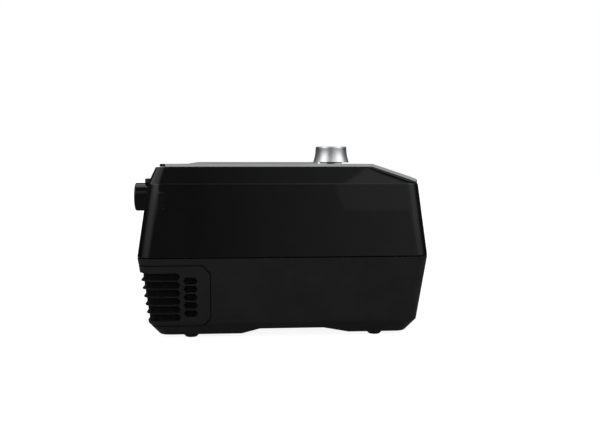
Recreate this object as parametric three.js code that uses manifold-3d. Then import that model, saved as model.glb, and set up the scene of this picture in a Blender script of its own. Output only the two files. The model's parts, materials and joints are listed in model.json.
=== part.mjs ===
// A bedside machine that blows humidified air: a drive unit on the left, a drawer with a heated
// water tank on the right, a metal knob and three keys above the front.
// Millimetres, +X to the user's right, +Y to the rear, +Z up.
// Run with the npm packages three and manifold-3d: the default export is a THREE.Group of named meshes.
import * as THREE from "three";
import { mergeVertices } from "three/addons/utils/BufferGeometryUtils.js";
import Module from "manifold-3d";

const wasm = await Module();
wasm.setup();

// Driving dimensions

// Clearances and the overrun that serves every cut
const fit = { seat: 0.3, slide: 0.6, seam: 0.5, bond: 0.6, overrun: 6, weld: 0.0002 };

// The moulded body: its overall size, the rises of its stages, and how far each stage lies inside the outline
const body = {
  halfWidth: 135,
  halfDepth: 95,
  height: 112.2,
  wall: 2.5,
  leastRadius: 3,
  footRise: 2.5,
  chamferRise: 8.5,
  lowerRise: 43.2,
  slopeRise: 10.8,
  base: { side: 12.9, front: 12.9, rear: 12.9, radius: 7 },
  chamfer: { side: 6.1, front: 6.1, rear: 6.1, radius: 9 },
  parting: { side: 0, front: 0, rear: 0, radius: 10 },
  crease: { side: 7, front: 5.2, rear: 6.5, radius: 10 },
  deck: { side: 14, front: 36.2, rear: 11.2, radius: 8 },
  lipHeight: 3,
  lipThickness: 1.2,
};

// The grip arch under the body: how far its feet lie from the ends, and how far its flanks run
const arch = { rise: 3.7, rearInset: 67, frontInset: 52, rearRun: 12, frontRun: 17 };

// Rubber feet
const foot = { sideInset: 19, endInset: 33.7, radius: 5.2, tipRadius: 3.6, stem: 2.2, stemLength: 5 };

// The glossy cover plate that bends over the deck and the slope
const cover = { thickness: 1.8, rearInset: 13.8, sideSetback: 0.7, footSetback: 1, cornerRadius: 7 };

// The bay of the water tank, open above and to the right
const bay = { left: 32, frontInset: 57, rearInset: 17, floor: 15, wall: 2 };

// The water tank and its lid
const tank = {
  wall: 2,
  panel: 2.5,
  basePlate: 1.6,
  gripHalf: 19,
  gripRadius: 7.5,
  gripRise: 12,
  gripShare: 0.5,
};
const lid = {
  rise: 1.5,
  thickness: 3,
  rampRun: 11,
  edge: 1,
  axisInset: 3,
  axisDrop: 4.4,
  knuckle: 2.6,
  pin: 1,
  earLength: 12,
  earMargin: 9,
  rimDepth: 2.2,
  rimThickness: 1.6,
  sealDepth: 1.4,
};

// Air ports of the tank, and the air outlet at the rear
const port = {
  drop: 12.8,
  bore: 8.2,
  rearInset: 24,
  spacing: 44,
  shelfDrop: 16.6,
  gasketFlange: 1.6,
  gasketThickness: 3,
  gasketLip: 1.6,
};
const outlet = { x: 0, radius: 11.2, wall: 2.6, reach: 17.5, edge: 1.4, flange: 2.4, flangeThickness: 2.4 };
const contact = { halfWidth: 6, overlap: 0.8, height: 3.5, reach: 9.2 };

// The filter cover that wraps round the rear left corner
const filter = {
  frontInset: 46.8,
  sideReach: 44,
  rise: 7,
  drop: 5.1,
  corner: 5,
  frame: 1.8,
  frameReach: 1.6,
  frameWindow: 3.4,
  foam: 5,
  slots: 6,
  headMargin: 7.05,
  sillMargin: 5.55,
  rib: 1.1,
  ribTip: 0.35,
  holeRib: 0.8,
  flareDepth: 1.5,
  slotInset: 18.8,
  rearSlotInset: 19,
  slotPoint: 1.6,
  slotDepth: 14,
  holeLength: 9.4,
  holeGap: 1.6,
};

// The control knob and the encoder under it
const knob = {
  slopeGap: 18.1,
  gap: 1.1,
  height: 11.9,
  cup: 3.6,
  waistRadius: 11.75,
  flare: 1.95,
  draft: 0.25,
  rim: 1.1,
  dish: 0.7,
  collarRadius: 8.35,
  collarGap: 0.85,
  collarRise: 2.2,
  room: 1.6,
  shaftRadius: 3,
  press: 0.8,
  dishShare: 0.7,
};
const encoder = {
  half: 6.5,
  drop: 10.2,
  height: 8,
  floor: 1.4,
  bushing: 3.9,
  bushingDrop: 0.9,
  plunger: 5,
  plungerHeight: 1.6,
  boardHalf: 12.4,
};

// Display and keys on the slope, in a row from the left, whose pitches are shares of the half width
const panel = { inset: 41, pitchShare: 0.4, startShare: 0.35 };
const display = { halfLength: 33, halfHeight: 10.5, ledge: 1.6, module: 3.2, corner: 2 };
const key = {
  smallRadius: 5.6,
  largeRadius: 8,
  proud: 0.25,
  crown: 0.35,
  flange: 1.4,
  travel: 0.6,
  stem: 1.8,
  stemLength: 3.6,
};
const keyBoard = { thickness: 1.6, halfHeight: 9, margin: 8, switchHeight: 2.4, switchHalf: 3 };

// Data port on the left side, and its rubber cover
const dataPort = {
  rearInset: 16.7,
  drop: 4.8,
  height: 11.5,
  halfWidth: 2.55,
  recess: 1,
  cover: 1.4,
  depth: 7,
  shell: 1.1,
};

// Power inlet in the rear wall
const inlet = { bayGap: 72, drop: 22.2, half: 6.4, bore: 4, pin: 1, depth: 12, flange: 2, pinReach: 5 };

// The blower
const blower = {
  y: 8,
  lowerHeight: 12.8,
  upperHeight: 12,
  wall: 2,
  tongueGap: 3,
  growth: 13,
  eye: 13,
  passage: 4,
  impellerRadius: 24,
  bladeRise: 2.8,
  bladeHeight: 12,
  backThickness: 1.4,
  hub: 5,
  hubTip: 3,
  shaft: 1.5,
  shaftInset: 2,
  blades: 11,
  bladeThickness: 1.1,
  bladeInner: 11,
  bladeSweep: 0.75,
  motorRadius: 18,
  motorFloor: 2,
  motorHeight: 18,
  spiralSteps: 30,
};
const mount = { height: 7.6, orbit: 30, radius: 5, neck: 3.4, startAngle: Math.PI / 6, count: 3 };
const duct = { wall: 1.4, bendRadius: 13 };

// Inlet muffler, boards, heater and screws
const muffler = {
  wallGap: 13.4,
  widthShare: 0.25,
  blowerGap: 2.6,
  filterGap: 4.2,
  length: 36,
  lift: 1,
  drop: 8.2,
};
const mainBoard = {
  sideInset: 23,
  bayGap: 12,
  frontInset: 13,
  blowerGap: 8,
  lift: 9,
  thickness: 1.6,
  standoff: 3,
  standoffShares: [0.2, 0.5, 0.8],
  capRadius: 4.8,
  capHeights: [12, 18, 21],
};
const heater = {
  leftMargin: 8,
  rightMargin: 23,
  sideMargin: 25,
  thickness: 2.4,
  insulator: 5,
  corner: 8,
  lift: 0.4,
};
const screw = {
  head: 2.9,
  headHeight: 2,
  slotHalf: 1.7,
  slotWidth: 0.9,
  shank: 1.5,
  length: 24,
  boss: 4.4,
  bossRise: 17.5,
  hole: 1.8,
  filterSideInset: 43,
  filterRearInset: 21,
  bayGap: 56,
  rearInset: 17,
  frontSideInset: 27,
  frontInset: 23,
};

// How finely round forms are faceted
const facets = {
  corner: 4,
  bend: 4,
  fine: 28,
  plain: 16,
  small: 8,
  tubeSteps: 8,
  tubeSides: 12,
  blade: 3,
  flare: 4,
};

// Finishes: colour, roughness and metalness of each material
const finish = {
  glossBlack: new THREE.MeshStandardMaterial({ color: 0x131315, roughness: 0.16, metalness: 0 }),
  satinBlack: new THREE.MeshStandardMaterial({ color: 0x19191b, roughness: 0.36, metalness: 0 }),
  mattBlack: new THREE.MeshStandardMaterial({ color: 0x1d1d1f, roughness: 0.6, metalness: 0 }),
  lens: new THREE.MeshStandardMaterial({ color: 0x0a0b0d, roughness: 0.05, metalness: 0 }),
  rubber: new THREE.MeshStandardMaterial({ color: 0x202022, roughness: 0.9, metalness: 0 }),
  satinMetal: new THREE.MeshStandardMaterial({ color: 0xb9bbbd, roughness: 0.28, metalness: 1 }),
  steel: new THREE.MeshStandardMaterial({ color: 0x9a9c9e, roughness: 0.35, metalness: 1 }),
  aluminium: new THREE.MeshStandardMaterial({ color: 0xa7a9ab, roughness: 0.45, metalness: 1 }),
  smoke: new THREE.MeshStandardMaterial({ color: 0x4a5157, roughness: 0.08, metalness: 0 }),
  whitePlastic: new THREE.MeshStandardMaterial({ color: 0xd9d9d5, roughness: 0.5, metalness: 0 }),
  foam: new THREE.MeshStandardMaterial({ color: 0x3a3b3d, roughness: 1, metalness: 0 }),
  filterFoam: new THREE.MeshStandardMaterial({ color: 0x55585b, roughness: 1, metalness: 0 }),
  circuit: new THREE.MeshStandardMaterial({ color: 0x1f5a38, roughness: 0.55, metalness: 0 }),
};

// Places worked out from the driving dimensions

const baseHeight = body.footRise;
const chamferHeight = baseHeight + body.chamferRise;
const partingHeight = chamferHeight + body.lowerRise;
const deckHeight = body.height;
const creaseHeight = deckHeight - body.slopeRise;
const floorTop = baseHeight + body.wall + fit.seat;
const deckTop = deckHeight + fit.seat + cover.thickness;
const right = body.halfWidth + fit.overrun;
const slopeFoot = new THREE.Vector2(-body.halfDepth + body.crease.front, creaseHeight);
const slopeHead = new THREE.Vector2(-body.halfDepth + body.deck.front, deckHeight);
const slopeRun = slopeHead.clone().sub(slopeFoot);

const archFoot = { rear: body.halfDepth - arch.rearInset, front: arch.frontInset - body.halfDepth };
const coverRear = body.halfDepth - cover.rearInset;
const bayFront = bay.frontInset - body.halfDepth;
const bayRear = body.halfDepth - bay.rearInset;
const bayRoof = deckHeight + fit.overrun;
const tankTop = deckHeight - fit.seat;
const lidTop = deckTop + lid.rise;
const lidUnderside = lidTop - lid.thickness;
const lidAxis = { y: bayRear - lid.axisInset, z: lidTop - lid.axisDrop };

const portHeight = creaseHeight - port.drop;
const waterShelf = portHeight - port.shelfDrop;
const outletPortY = bayRear - port.rearInset;
const inletPortY = outletPortY - port.spacing;
const gasketFace = bay.left - bay.wall - port.gasketThickness;
const outletRear = body.halfDepth + outlet.reach;
const outletBore = outlet.radius - outlet.wall;
const outletFlange = outlet.radius + outlet.flange;
const contactLow = portHeight + outlet.radius - contact.overlap;

// The zone of the filter cover, and the tips of its slots
const filterSpan = {
  front: body.halfDepth - filter.frontInset,
  right: filter.sideReach - body.halfWidth,
  low: baseHeight + filter.rise,
  high: partingHeight - filter.drop,
};
const slotStretch = filterSpan.high - filterSpan.low - filter.headMargin - filter.sillMargin;
const slotPitch = slotStretch / (filter.slots - 1);
const slotTip = filterSpan.front + filter.slotInset;
const rearSlotTip = filterSpan.right - filter.rearSlotInset;

// The row of keys with the display in it, and the knob behind the display
const rampX = panel.inset - body.halfWidth;
const displayX = rampX + body.halfWidth * panel.pitchShare;
const homeX = displayX + body.halfWidth * panel.pitchShare;
const keys = [
  { name: "ramp_key", x: rampX, radius: key.smallRadius },
  { name: "home_key", x: homeX, radius: key.smallRadius },
  { name: "start_key", x: homeX + body.halfWidth * panel.startShare, radius: key.largeRadius },
];
const knobY = slopeHead.x + knob.slopeGap;
const knobLow = deckTop + knob.gap;
const knobHigh = knobLow + knob.height;
const collarTop = knobLow + knob.collarRise;
const recessTop = collarTop + knob.room;
const shaftTop = knobHigh - knob.cup - fit.seat;
const encoderHigh = deckHeight - encoder.drop;
const encoderLow = encoderHigh - encoder.height;

// The port, the inlet and the screws
const dataPortHigh = creaseHeight - dataPort.drop;
const dataPortLow = dataPortHigh - dataPort.height;
const inletX = bay.left - inlet.bayGap;
const inletHeight = partingHeight - inlet.drop;
const bossTop = baseHeight + screw.bossRise;
const screwPlaces = [
  [screw.filterSideInset - body.halfWidth, body.halfDepth - screw.filterRearInset],
  [bay.left - screw.bayGap, body.halfDepth - screw.rearInset],
  [screw.frontSideInset - body.halfWidth, screw.frontInset - body.halfDepth],
  [body.halfWidth - screw.frontSideInset, screw.frontInset - body.halfDepth],
];

// The blower's scroll, which shares the length between the left wall and the bay with the muffler and a duct
const scrollLeast = blower.impellerRadius + blower.tongueGap;
const scrollMost = scrollLeast + blower.growth;
const scrollReach = scrollMost + blower.passage;
const mufflerLeft = muffler.wallGap - body.halfWidth;
const blowerSpan = muffler.blowerGap + blower.wall + scrollMost;
const mufflerRight =
  mufflerLeft + muffler.widthShare * (gasketFace - mufflerLeft - blowerSpan - scrollReach);
const blowerX = mufflerRight + blowerSpan;
const blowerLow = floorTop + mount.height + fit.seat;
const blowerSplit = blowerLow + blower.lowerHeight;
const blowerHigh = blowerSplit + blower.upperHeight;
const bladeLow = blowerLow + blower.wall + blower.bladeRise;
const backLow = bladeLow + blower.bladeHeight;
const shaftLow = bladeLow + blower.shaftInset;

// Solids: closed geometries that are joined and cut

// A closed geometry as a solid, with its shared vertices merged and its empty triangles left out.
function solid(geometry) {
  const bare = new THREE.BufferGeometry();
  bare.setAttribute("position", geometry.getAttribute("position"));
  bare.setIndex(geometry.index);
  const merged = mergeVertices(bare, fit.weld);
  const corners = merged.index.array;
  const faces = [];
  for (let i = 0; i < corners.length; i += 3) {
    const [a, b, c] = [corners[i], corners[i + 1], corners[i + 2]];
    if (a !== b && b !== c && c !== a) faces.push(a, b, c);
  }
  return new wasm.Manifold(
    new wasm.Mesh({
      numProp: 3,
      vertProperties: merged.getAttribute("position").array,
      triVerts: new Uint32Array(faces),
    }),
  );
}

// A solid as a flat-shaded geometry.
function surface(made) {
  const mesh = made.getMesh();
  const geometry = new THREE.BufferGeometry();
  geometry.setAttribute("position", new THREE.BufferAttribute(mesh.vertProperties, 3));
  geometry.setIndex(new THREE.BufferAttribute(mesh.triVerts, 1));
  const flat = geometry.toNonIndexed();
  flat.computeVertexNormals();
  return flat;
}

// A named mesh from a solid.
function piece(name, made, material) {
  const mesh = new THREE.Mesh(surface(made), material);
  mesh.name = name;
  return mesh;
}

const join = (first, ...others) => others.reduce((sum, other) => sum.add(other), first);
const cut = (first, ...others) => others.reduce((rest, other) => rest.subtract(other), first);
const common = (first, ...others) => others.reduce((rest, other) => rest.intersect(other), first);

// A block between two corners.
function block(x, y, z) {
  const geometry = new THREE.BoxGeometry(x[1] - x[0], y[1] - y[0], z[1] - z[0]);
  geometry.translate((x[0] + x[1]) / 2, (y[0] + y[1]) / 2, (z[0] + z[1]) / 2);
  return solid(geometry);
}

// Turns geometry built along +Z so that its own x, y and z run along the given axis:
// "x" draws in Y and Z, "y" draws in X and Z and runs to the front, "z" leaves it as it is.
const turned = {
  x: new THREE.Matrix4().makeBasis(
    new THREE.Vector3(0, 1, 0),
    new THREE.Vector3(0, 0, 1),
    new THREE.Vector3(1, 0, 0),
  ),
  y: new THREE.Matrix4().makeBasis(
    new THREE.Vector3(1, 0, 0),
    new THREE.Vector3(0, 0, 1),
    new THREE.Vector3(0, -1, 0),
  ),
  z: new THREE.Matrix4(),
};

// How an outline is pushed along; each arc of it gets the given number of straight steps.
function pushed(depth, arcSteps) {
  return { depth, bevelEnabled: false, curveSegments: arcSteps / 2 };
}

// A flat outline pushed along an axis from one place to another.
function prism(axis, outline, from, to, arcSteps = facets.bend) {
  const geometry = new THREE.ExtrudeGeometry(outline, pushed(to - from, arcSteps));
  geometry.translate(0, 0, axis === "y" ? -to : from);
  geometry.applyMatrix4(turned[axis]);
  return solid(geometry);
}

// An outline with straight sides through the given points.
function polygon(points) {
  return new THREE.Shape(points.map(([u, v]) => new THREE.Vector2(u, v)));
}

// A round rod along an axis; u and v place it across that axis.
function rod(axis, u, v, radius, from, to, sides = facets.plain) {
  const circle = new THREE.Shape();
  circle.absarc(u, v, radius, 0, 2 * Math.PI);
  return prism(axis, circle, from, to, sides);
}

// A body of revolution about the Z axis through a place, from its (radius, height) points.
function revolve(points, x, y, sides = facets.plain) {
  const geometry = new THREE.LatheGeometry(
    points.map(([radius, height]) => new THREE.Vector2(radius, height)),
    sides,
  );
  geometry.rotateX(Math.PI / 2);
  geometry.translate(x, y, 0);
  return solid(geometry);
}

// A rounded rectangle between two corners.
function roundedRectangle(u, v, radius) {
  const shape = new THREE.Shape();
  shape.absarc(u[1] - radius, v[1] - radius, radius, 0, Math.PI / 2);
  shape.absarc(u[0] + radius, v[1] - radius, radius, Math.PI / 2, Math.PI);
  shape.absarc(u[0] + radius, v[0] + radius, radius, Math.PI, (3 * Math.PI) / 2);
  shape.absarc(u[1] - radius, v[0] + radius, radius, (3 * Math.PI) / 2, 2 * Math.PI);
  return shape;
}

// The moulded form of the body

const levels = [
  { ...body.base, height: baseHeight },
  { ...body.chamfer, height: chamferHeight },
  { ...body.parting, height: partingHeight },
  { ...body.crease, height: creaseHeight },
  { ...body.deck, height: deckHeight },
];

// Moves an open outline to its right by a distance, with mitred corners.
function shifted(points, distance, startDirection, endDirection) {
  const directions = points.slice(1).map((point, i) => point.clone().sub(points[i]).normalize());
  directions.unshift(startDirection || directions[0]);
  directions.push(endDirection || directions[directions.length - 1]);
  return points.map((point, i) => {
    const [before, after] = [directions[i], directions[i + 1]];
    const mitre = new THREE.Vector2(before.y + after.y, -before.x - after.x);
    return point.clone().addScaledVector(mitre, distance / (1 + before.dot(after)));
  });
}

// The inset and height of each level on one face of the body, moved inwards by a depth.
function faceProfile(face, depth) {
  const points = levels.map((level) => new THREE.Vector2(level[face], level.height));
  return shifted(points, depth, new THREE.Vector2(-1, 0), new THREE.Vector2(1, 0));
}

// One closed ring of points round the body, from the inset and height of its faces and a corner radius.
function bodyRing(side, front, rear, radius) {
  const points = [];
  const corners = [
    { x: 1, y: 1, faces: [side, rear] },
    { x: -1, y: 1, faces: [rear, side] },
    { x: -1, y: -1, faces: [side, front] },
    { x: 1, y: -1, faces: [front, side] },
  ];
  corners.forEach((corner, quarter) => {
    const across = body.halfWidth - side.x - radius;
    const along = body.halfDepth - (corner.y > 0 ? rear : front).x - radius;
    for (let step = 0; step <= facets.corner; step++) {
      const share = step / facets.corner;
      const angle = ((quarter + share) * Math.PI) / 2;
      points.push(
        new THREE.Vector3(
          corner.x * across + radius * Math.cos(angle),
          corner.y * along + radius * Math.sin(angle),
          THREE.MathUtils.lerp(corner.faces[0].y, corner.faces[1].y, share),
        ),
      );
    }
  });
  return points;
}

// A closed solid through rings with equal numbers of points.
function loft(rings) {
  const points = rings.flat();
  const count = rings[0].length;
  const faces = [];
  for (let level = 0; level + 1 < rings.length; level++) {
    for (let i = 0; i < count; i++) {
      const a = level * count + i;
      const b = level * count + ((i + 1) % count);
      faces.push(a, b, b + count, a, b + count, a + count);
    }
  }
  const top = points.length - count;
  for (let i = 1; i + 1 < count; i++) {
    faces.push(0, i + 1, i, top, top + i, top + i + 1);
  }
  const geometry = new THREE.BufferGeometry().setFromPoints(points);
  geometry.setIndex(faces);
  return solid(geometry);
}

// The whole body form, moved inwards by a depth.
function bodyForm(depth) {
  const side = faceProfile("side", depth);
  const front = faceProfile("front", depth);
  const rear = faceProfile("rear", depth);
  return loft(
    levels.map((level, i) =>
      bodyRing(side[i], front[i], rear[i], Math.max(level.radius - depth, body.leastRadius)),
    ),
  );
}

// A ring of the body at any height below the parting line, moved inwards by a depth.
function ringAt(height, depth) {
  const share = (height - chamferHeight) / (partingHeight - chamferHeight);
  const inset = (face) => {
    const value = THREE.MathUtils.lerp(body.chamfer[face], body.parting[face], share);
    return new THREE.Vector2(value + depth, height);
  };
  return bodyRing(inset("side"), inset("front"), inset("rear"), body.parting.radius);
}

// Everything between two heights, wider than the body.
function slab(low, high) {
  const x = body.halfWidth + fit.overrun;
  const y = body.halfDepth + fit.overrun;
  return block([-x, x], [-y, y], [low, high]);
}

const outerForm = bodyForm(0);
const innerForm = bodyForm(body.wall);
const innerFormGrown = bodyForm(body.wall - fit.bond);
const partingLow = partingHeight - fit.seam / 2;
const partingHigh = partingHeight + fit.seam / 2;

// Geometry drawn flat on the slope: x along the slope's width, y up the slope, z out of it, from its middle.
function onSlope(x) {
  const up = slopeRun.clone().normalize();
  const middle = slopeFoot.clone().add(slopeHead).divideScalar(2);
  return new THREE.Matrix4()
    .makeBasis(
      new THREE.Vector3(1, 0, 0),
      new THREE.Vector3(0, up.x, up.y),
      new THREE.Vector3(0, -up.y, up.x),
    )
    .setPosition(x, middle.x, middle.y);
}

// An outline pushed out of the slope between two depths.
function slopePrism(x, outline, from, to, arcSteps = facets.bend) {
  const geometry = new THREE.ExtrudeGeometry(outline, pushed(to - from, arcSteps));
  geometry.translate(0, 0, from);
  geometry.applyMatrix4(onSlope(x));
  return solid(geometry);
}

// A round rod out of the slope.
function slopeRod(x, radius, from, to) {
  const circle = new THREE.Shape();
  circle.absarc(0, 0, radius, 0, 2 * Math.PI);
  return slopePrism(x, circle, from, to, facets.plain);
}

const slopeSkin = fit.seat + cover.thickness;

// Cut-outs that more than one piece shares

// The bay, larger or smaller than its nominal size by a margin.
function bayBlock(margin) {
  return block(
    [bay.left - margin, right],
    [bayFront - margin, bayRear + margin],
    [bay.floor - margin, bayRoof],
  );
}

// The upright slot with round ends of the data port, grown by a margin.
function portSlot(margin) {
  const y = body.halfDepth - dataPort.rearInset;
  const radius = dataPort.halfWidth;
  const shape = new THREE.Shape();
  shape.absarc(y, dataPortHigh - radius, radius + margin, 0, Math.PI);
  shape.absarc(y, dataPortLow + radius, radius + margin, Math.PI, 2 * Math.PI);
  return shape;
}

// The zone of the filter cover, grown by a margin.
function filterZone(margin) {
  const [low, high] = [filterSpan.low - margin, filterSpan.high + margin];
  const far = body.halfDepth + fit.overrun;
  const left = -body.halfWidth - fit.overrun;
  const front = filterSpan.front - margin;
  const edge = filterSpan.right + margin;
  const sideways = polygon([
    [far, low],
    [far, high],
    [front + filter.corner, high],
    [front, high - filter.corner],
    [front, low + filter.corner],
    [front + filter.corner, low],
  ]);
  const endways = polygon([
    [left, low],
    [edge - filter.corner, low],
    [edge, low + filter.corner],
    [edge, high - filter.corner],
    [edge - filter.corner, high],
    [left, high],
  ]);
  return common(prism("x", sideways, left, edge), prism("y", endways, 0, far));
}

// A long hexagon from one place to another, centred at a height.
function hexagon(from, to, height, tall) {
  const point = Math.sign(to - from) * filter.slotPoint;
  return polygon([
    [from, height],
    [from + point, height - tall / 2],
    [to - point, height - tall / 2],
    [to, height],
    [to - point, height + tall / 2],
    [from + point, height + tall / 2],
  ]);
}

// A sideways and an endways prism that meet round the rear left corner.
function wrappedSlot(height, tall) {
  const left = -body.halfWidth - fit.overrun;
  const far = body.halfDepth + fit.overrun;
  const sideways = hexagon(slotTip, far + fit.overrun, height, tall);
  const endways = hexagon(left - fit.overrun, rearSlotTip, height, tall);
  return join(
    prism("x", sideways, left, -body.halfWidth + filter.slotDepth),
    prism("y", endways, body.halfDepth - filter.slotDepth, far),
  );
}

// The louvre slots with flared mouths, and the staggered holes beyond their tips.
function louvres() {
  const cuts = [];
  const left = -body.halfWidth - fit.overrun;
  const far = body.halfDepth + fit.overrun;
  const mouth = slotPitch - filter.ribTip;
  const slotHeight = slotPitch - filter.rib;
  const holeHeight = slotPitch - filter.holeRib;
  for (let i = 0; i < filter.slots; i++) {
    const height = filterSpan.high - filter.headMargin - i * slotPitch;
    const waist = loft([
      ringAt(height - mouth / 2, 0),
      ringAt(height - slotHeight / 2, filter.flareDepth),
      ringAt(height + slotHeight / 2, filter.flareDepth),
      ringAt(height + mouth / 2, 0),
    ]);
    cuts.push(wrappedSlot(height, slotHeight));
    cuts.push(cut(wrappedSlot(height, mouth), waist));
    if (i + 1 === filter.slots) continue;
    const between = height - slotPitch / 2;
    const sideEnd = slotTip - filter.holeGap;
    const rearStart = rearSlotTip + filter.holeGap;
    const sideHole = hexagon(sideEnd - filter.holeLength, sideEnd, between, holeHeight);
    const rearHole = hexagon(rearStart, rearStart + filter.holeLength, between, holeHeight);
    cuts.push(prism("x", sideHole, left, -body.halfWidth + filter.slotDepth));
    cuts.push(prism("y", rearHole, body.halfDepth - filter.slotDepth, far));
  }
  return cuts;
}

// Housings and covers

// The grip arch, thicker by a margin all round.
function archBlock(margin) {
  const outline = polygon([
    [archFoot.rear + margin, baseHeight - fit.overrun],
    [archFoot.rear + margin, baseHeight],
    [archFoot.rear - arch.rearRun + margin / 2, baseHeight + arch.rise + margin],
    [archFoot.front + arch.frontRun - margin / 2, baseHeight + arch.rise + margin],
    [archFoot.front - margin, baseHeight],
    [archFoot.front - margin, baseHeight - fit.overrun],
  ]);
  const x = body.halfWidth + fit.overrun;
  return prism("x", outline, -x, x);
}

// An upright block with the body's outline at its parting line, moved inwards by a depth.
function lipBlock(depth, low, high) {
  const [across, along] = [body.halfWidth - depth, body.halfDepth - depth];
  const outline = roundedRectangle([-across, across], [-along, along], body.parting.radius - depth);
  return prism("z", outline, low, high);
}

function lowerHousing() {
  const cavity = cut(innerForm, archBlock(body.wall));
  let shell = cut(common(outerForm, slab(0, partingLow)), cavity, archBlock(0));
  const lipTop = partingLow + body.lipHeight;
  const lipInset = body.crease.side * upperShare(lipTop) + body.wall + fit.seat;
  const lip = join(
    lipBlock(lipInset, partingLow, lipTop),
    lipBlock(body.wall - fit.bond, partingLow - body.lipHeight, partingLow),
  );
  shell = join(shell, cut(lip, lipBlock(lipInset + body.lipThickness, 0, bayRoof)));
  shell = cut(shell, filterZone(fit.seam), bayBlock(bay.wall + fit.seat));
  for (const [x, y] of screwPlaces) {
    const floor = baseHeight + body.wall - fit.bond;
    shell = join(shell, rod("z", x, y, screw.boss, floor, bossTop, facets.small));
    const headRoom = baseHeight + screw.headHeight + fit.seat;
    shell = cut(shell, rod("z", x, y, screw.head + fit.seat, 0, headRoom, facets.small));
    shell = cut(shell, rod("z", x, y, screw.hole, 0, bossTop + fit.overrun, facets.small));
  }
  for (const [x, y] of feetPlaces()) {
    const stemTop = baseHeight + foot.stemLength;
    shell = cut(shell, rod("z", x, y, foot.stem + fit.seat, 0, stemTop, facets.small));
  }
  const hole = inlet.half + fit.seat;
  const inletHole = roundedRectangle(
    [inletX - hole, inletX + hole],
    [inletHeight - hole, inletHeight + hole],
    inlet.flange,
  );
  shell = cut(shell, prism("y", inletHole, bayRear, body.halfDepth + fit.overrun));
  return piece("lower_housing", shell, finish.mattBlack);
}

function upperHousing() {
  let shell = cut(common(outerForm, slab(partingHigh, bayRoof)), innerForm);
  for (const [x, y] of screwPlaces) {
    const pillar = rod("z", x, y, screw.boss, bossTop + fit.seat, deckHeight, facets.small);
    const pilotTop = baseHeight + screw.headHeight + screw.length + fit.seat;
    shell = join(shell, common(pillar, innerFormGrown));
    shell = cut(shell, rod("z", x, y, screw.hole, 0, pilotTop, facets.small));
  }
  shell = cut(shell, bayBlock(bay.wall + fit.seat));
  shell = cut(shell, rod("z", displayX, knobY, encoder.bushing + fit.seat, encoderHigh, bayRoof));
  const [u, v] = [display.halfLength - display.ledge, display.halfHeight - display.ledge];
  const windowShape = roundedRectangle([-u, u], [-v, v], display.corner);
  shell = cut(shell, slopePrism(displayX, windowShape, -fit.overrun, fit.overrun));
  for (const { x, radius } of keys) {
    shell = cut(shell, slopeRod(x, radius - key.flange, -fit.overrun, fit.overrun));
  }
  const rear = body.halfDepth + fit.overrun;
  shell = cut(shell, rod("y", outlet.x, portHeight, outlet.radius + fit.seat, bayRear, rear, facets.fine));
  shell = cut(shell, contactBlock(fit.seat, bayRear));
  shell = cut(shell, prism("x", portSlot(0), -right, -body.halfWidth + dataPort.depth + fit.overrun));
  return piece("upper_housing", shell, finish.glossBlack);
}

// The bent line of the deck and slope, from the rear edge of the cover to its foot.
function coverLine() {
  return [new THREE.Vector2(coverRear, deckHeight), slopeHead.clone(), slopeFoot.clone()];
}

// The outline of the cover from above, grown by a margin.
function coverPlan(margin) {
  const deckSide = body.halfWidth - body.deck.side - cover.sideSetback + margin;
  const footSide = body.halfWidth - body.crease.side - cover.sideSetback + margin;
  const footY = slopeFoot.x + cover.footSetback - margin;
  const radius = cover.cornerRadius;
  const nearFoot = footSide - (radius * (footSide - deckSide)) / slopeRun.x;
  const plan = new THREE.Shape();
  plan.moveTo(-deckSide, slopeHead.x);
  plan.lineTo(-nearFoot, footY + radius);
  plan.quadraticCurveTo(-footSide, footY, -footSide + radius, footY);
  plan.lineTo(footSide - radius, footY);
  plan.quadraticCurveTo(footSide, footY, nearFoot, footY + radius);
  plan.lineTo(deckSide, slopeHead.x);
  plan.absarc(deckSide - radius, coverRear - radius + margin, radius, 0, Math.PI / 2);
  plan.absarc(-deckSide + radius, coverRear - radius + margin, radius, Math.PI / 2, Math.PI);
  plan.closePath();
  return plan;
}

function topCover() {
  const line = coverLine();
  const under = shifted(line, fit.seat).map((point) => [point.x, point.y]);
  const over = shifted(line, slopeSkin).map((point) => [point.x, point.y]);
  const outline = polygon([...under, ...over.reverse()]);
  let plate = prism("x", outline, -right, right);
  plate = common(plate, prism("z", coverPlan(0), 0, bayRoof));
  const notch = block(
    [bay.left - bay.wall, right],
    [bayFront - fit.seam, bayRear + fit.seam],
    [0, bayRoof],
  );
  plate = cut(plate, notch);
  plate = cut(plate, rod("z", displayX, knobY, encoder.bushing + fit.seat, 0, bayRoof));
  const half = [display.halfLength + fit.seat, display.halfHeight + fit.seat];
  const lensShape = roundedRectangle([-half[0], half[0]], [-half[1], half[1]], display.corner);
  plate = cut(plate, slopePrism(displayX, lensShape, -fit.overrun, fit.overrun));
  for (const { x, radius } of keys) {
    plate = cut(plate, slopeRod(x, radius + fit.seat, -fit.overrun, fit.overrun));
  }
  return piece("top_cover", plate, finish.glossBlack);
}

function filterCover() {
  const shell = common(cut(outerForm, innerForm), filterZone(0), slab(0, partingLow));
  return piece("filter_cover", cut(shell, ...louvres()), finish.mattBlack);
}

function filterFrame() {
  const depth = body.wall + fit.seat;
  const band = common(cut(bodyForm(depth), bodyForm(depth + filter.frame)), filterZone(filter.frameReach));
  const inside = filterZone(-filter.frameWindow);
  return piece("filter_frame", cut(band, inside), finish.satinBlack);
}

function airFilter() {
  const depth = body.wall + fit.seat;
  const pad = cut(bodyForm(depth), bodyForm(depth + filter.foam));
  return piece("air_filter", common(pad, filterZone(-filter.frameWindow - fit.seat)), finish.filterFoam);
}

// Feet and screws

function feetPlaces() {
  const places = [];
  const [side, end] = [body.halfWidth - foot.sideInset, body.halfDepth - foot.endInset];
  for (const x of [-side, side]) {
    for (const y of [-end, end]) places.push([x, y]);
  }
  return places;
}

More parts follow.
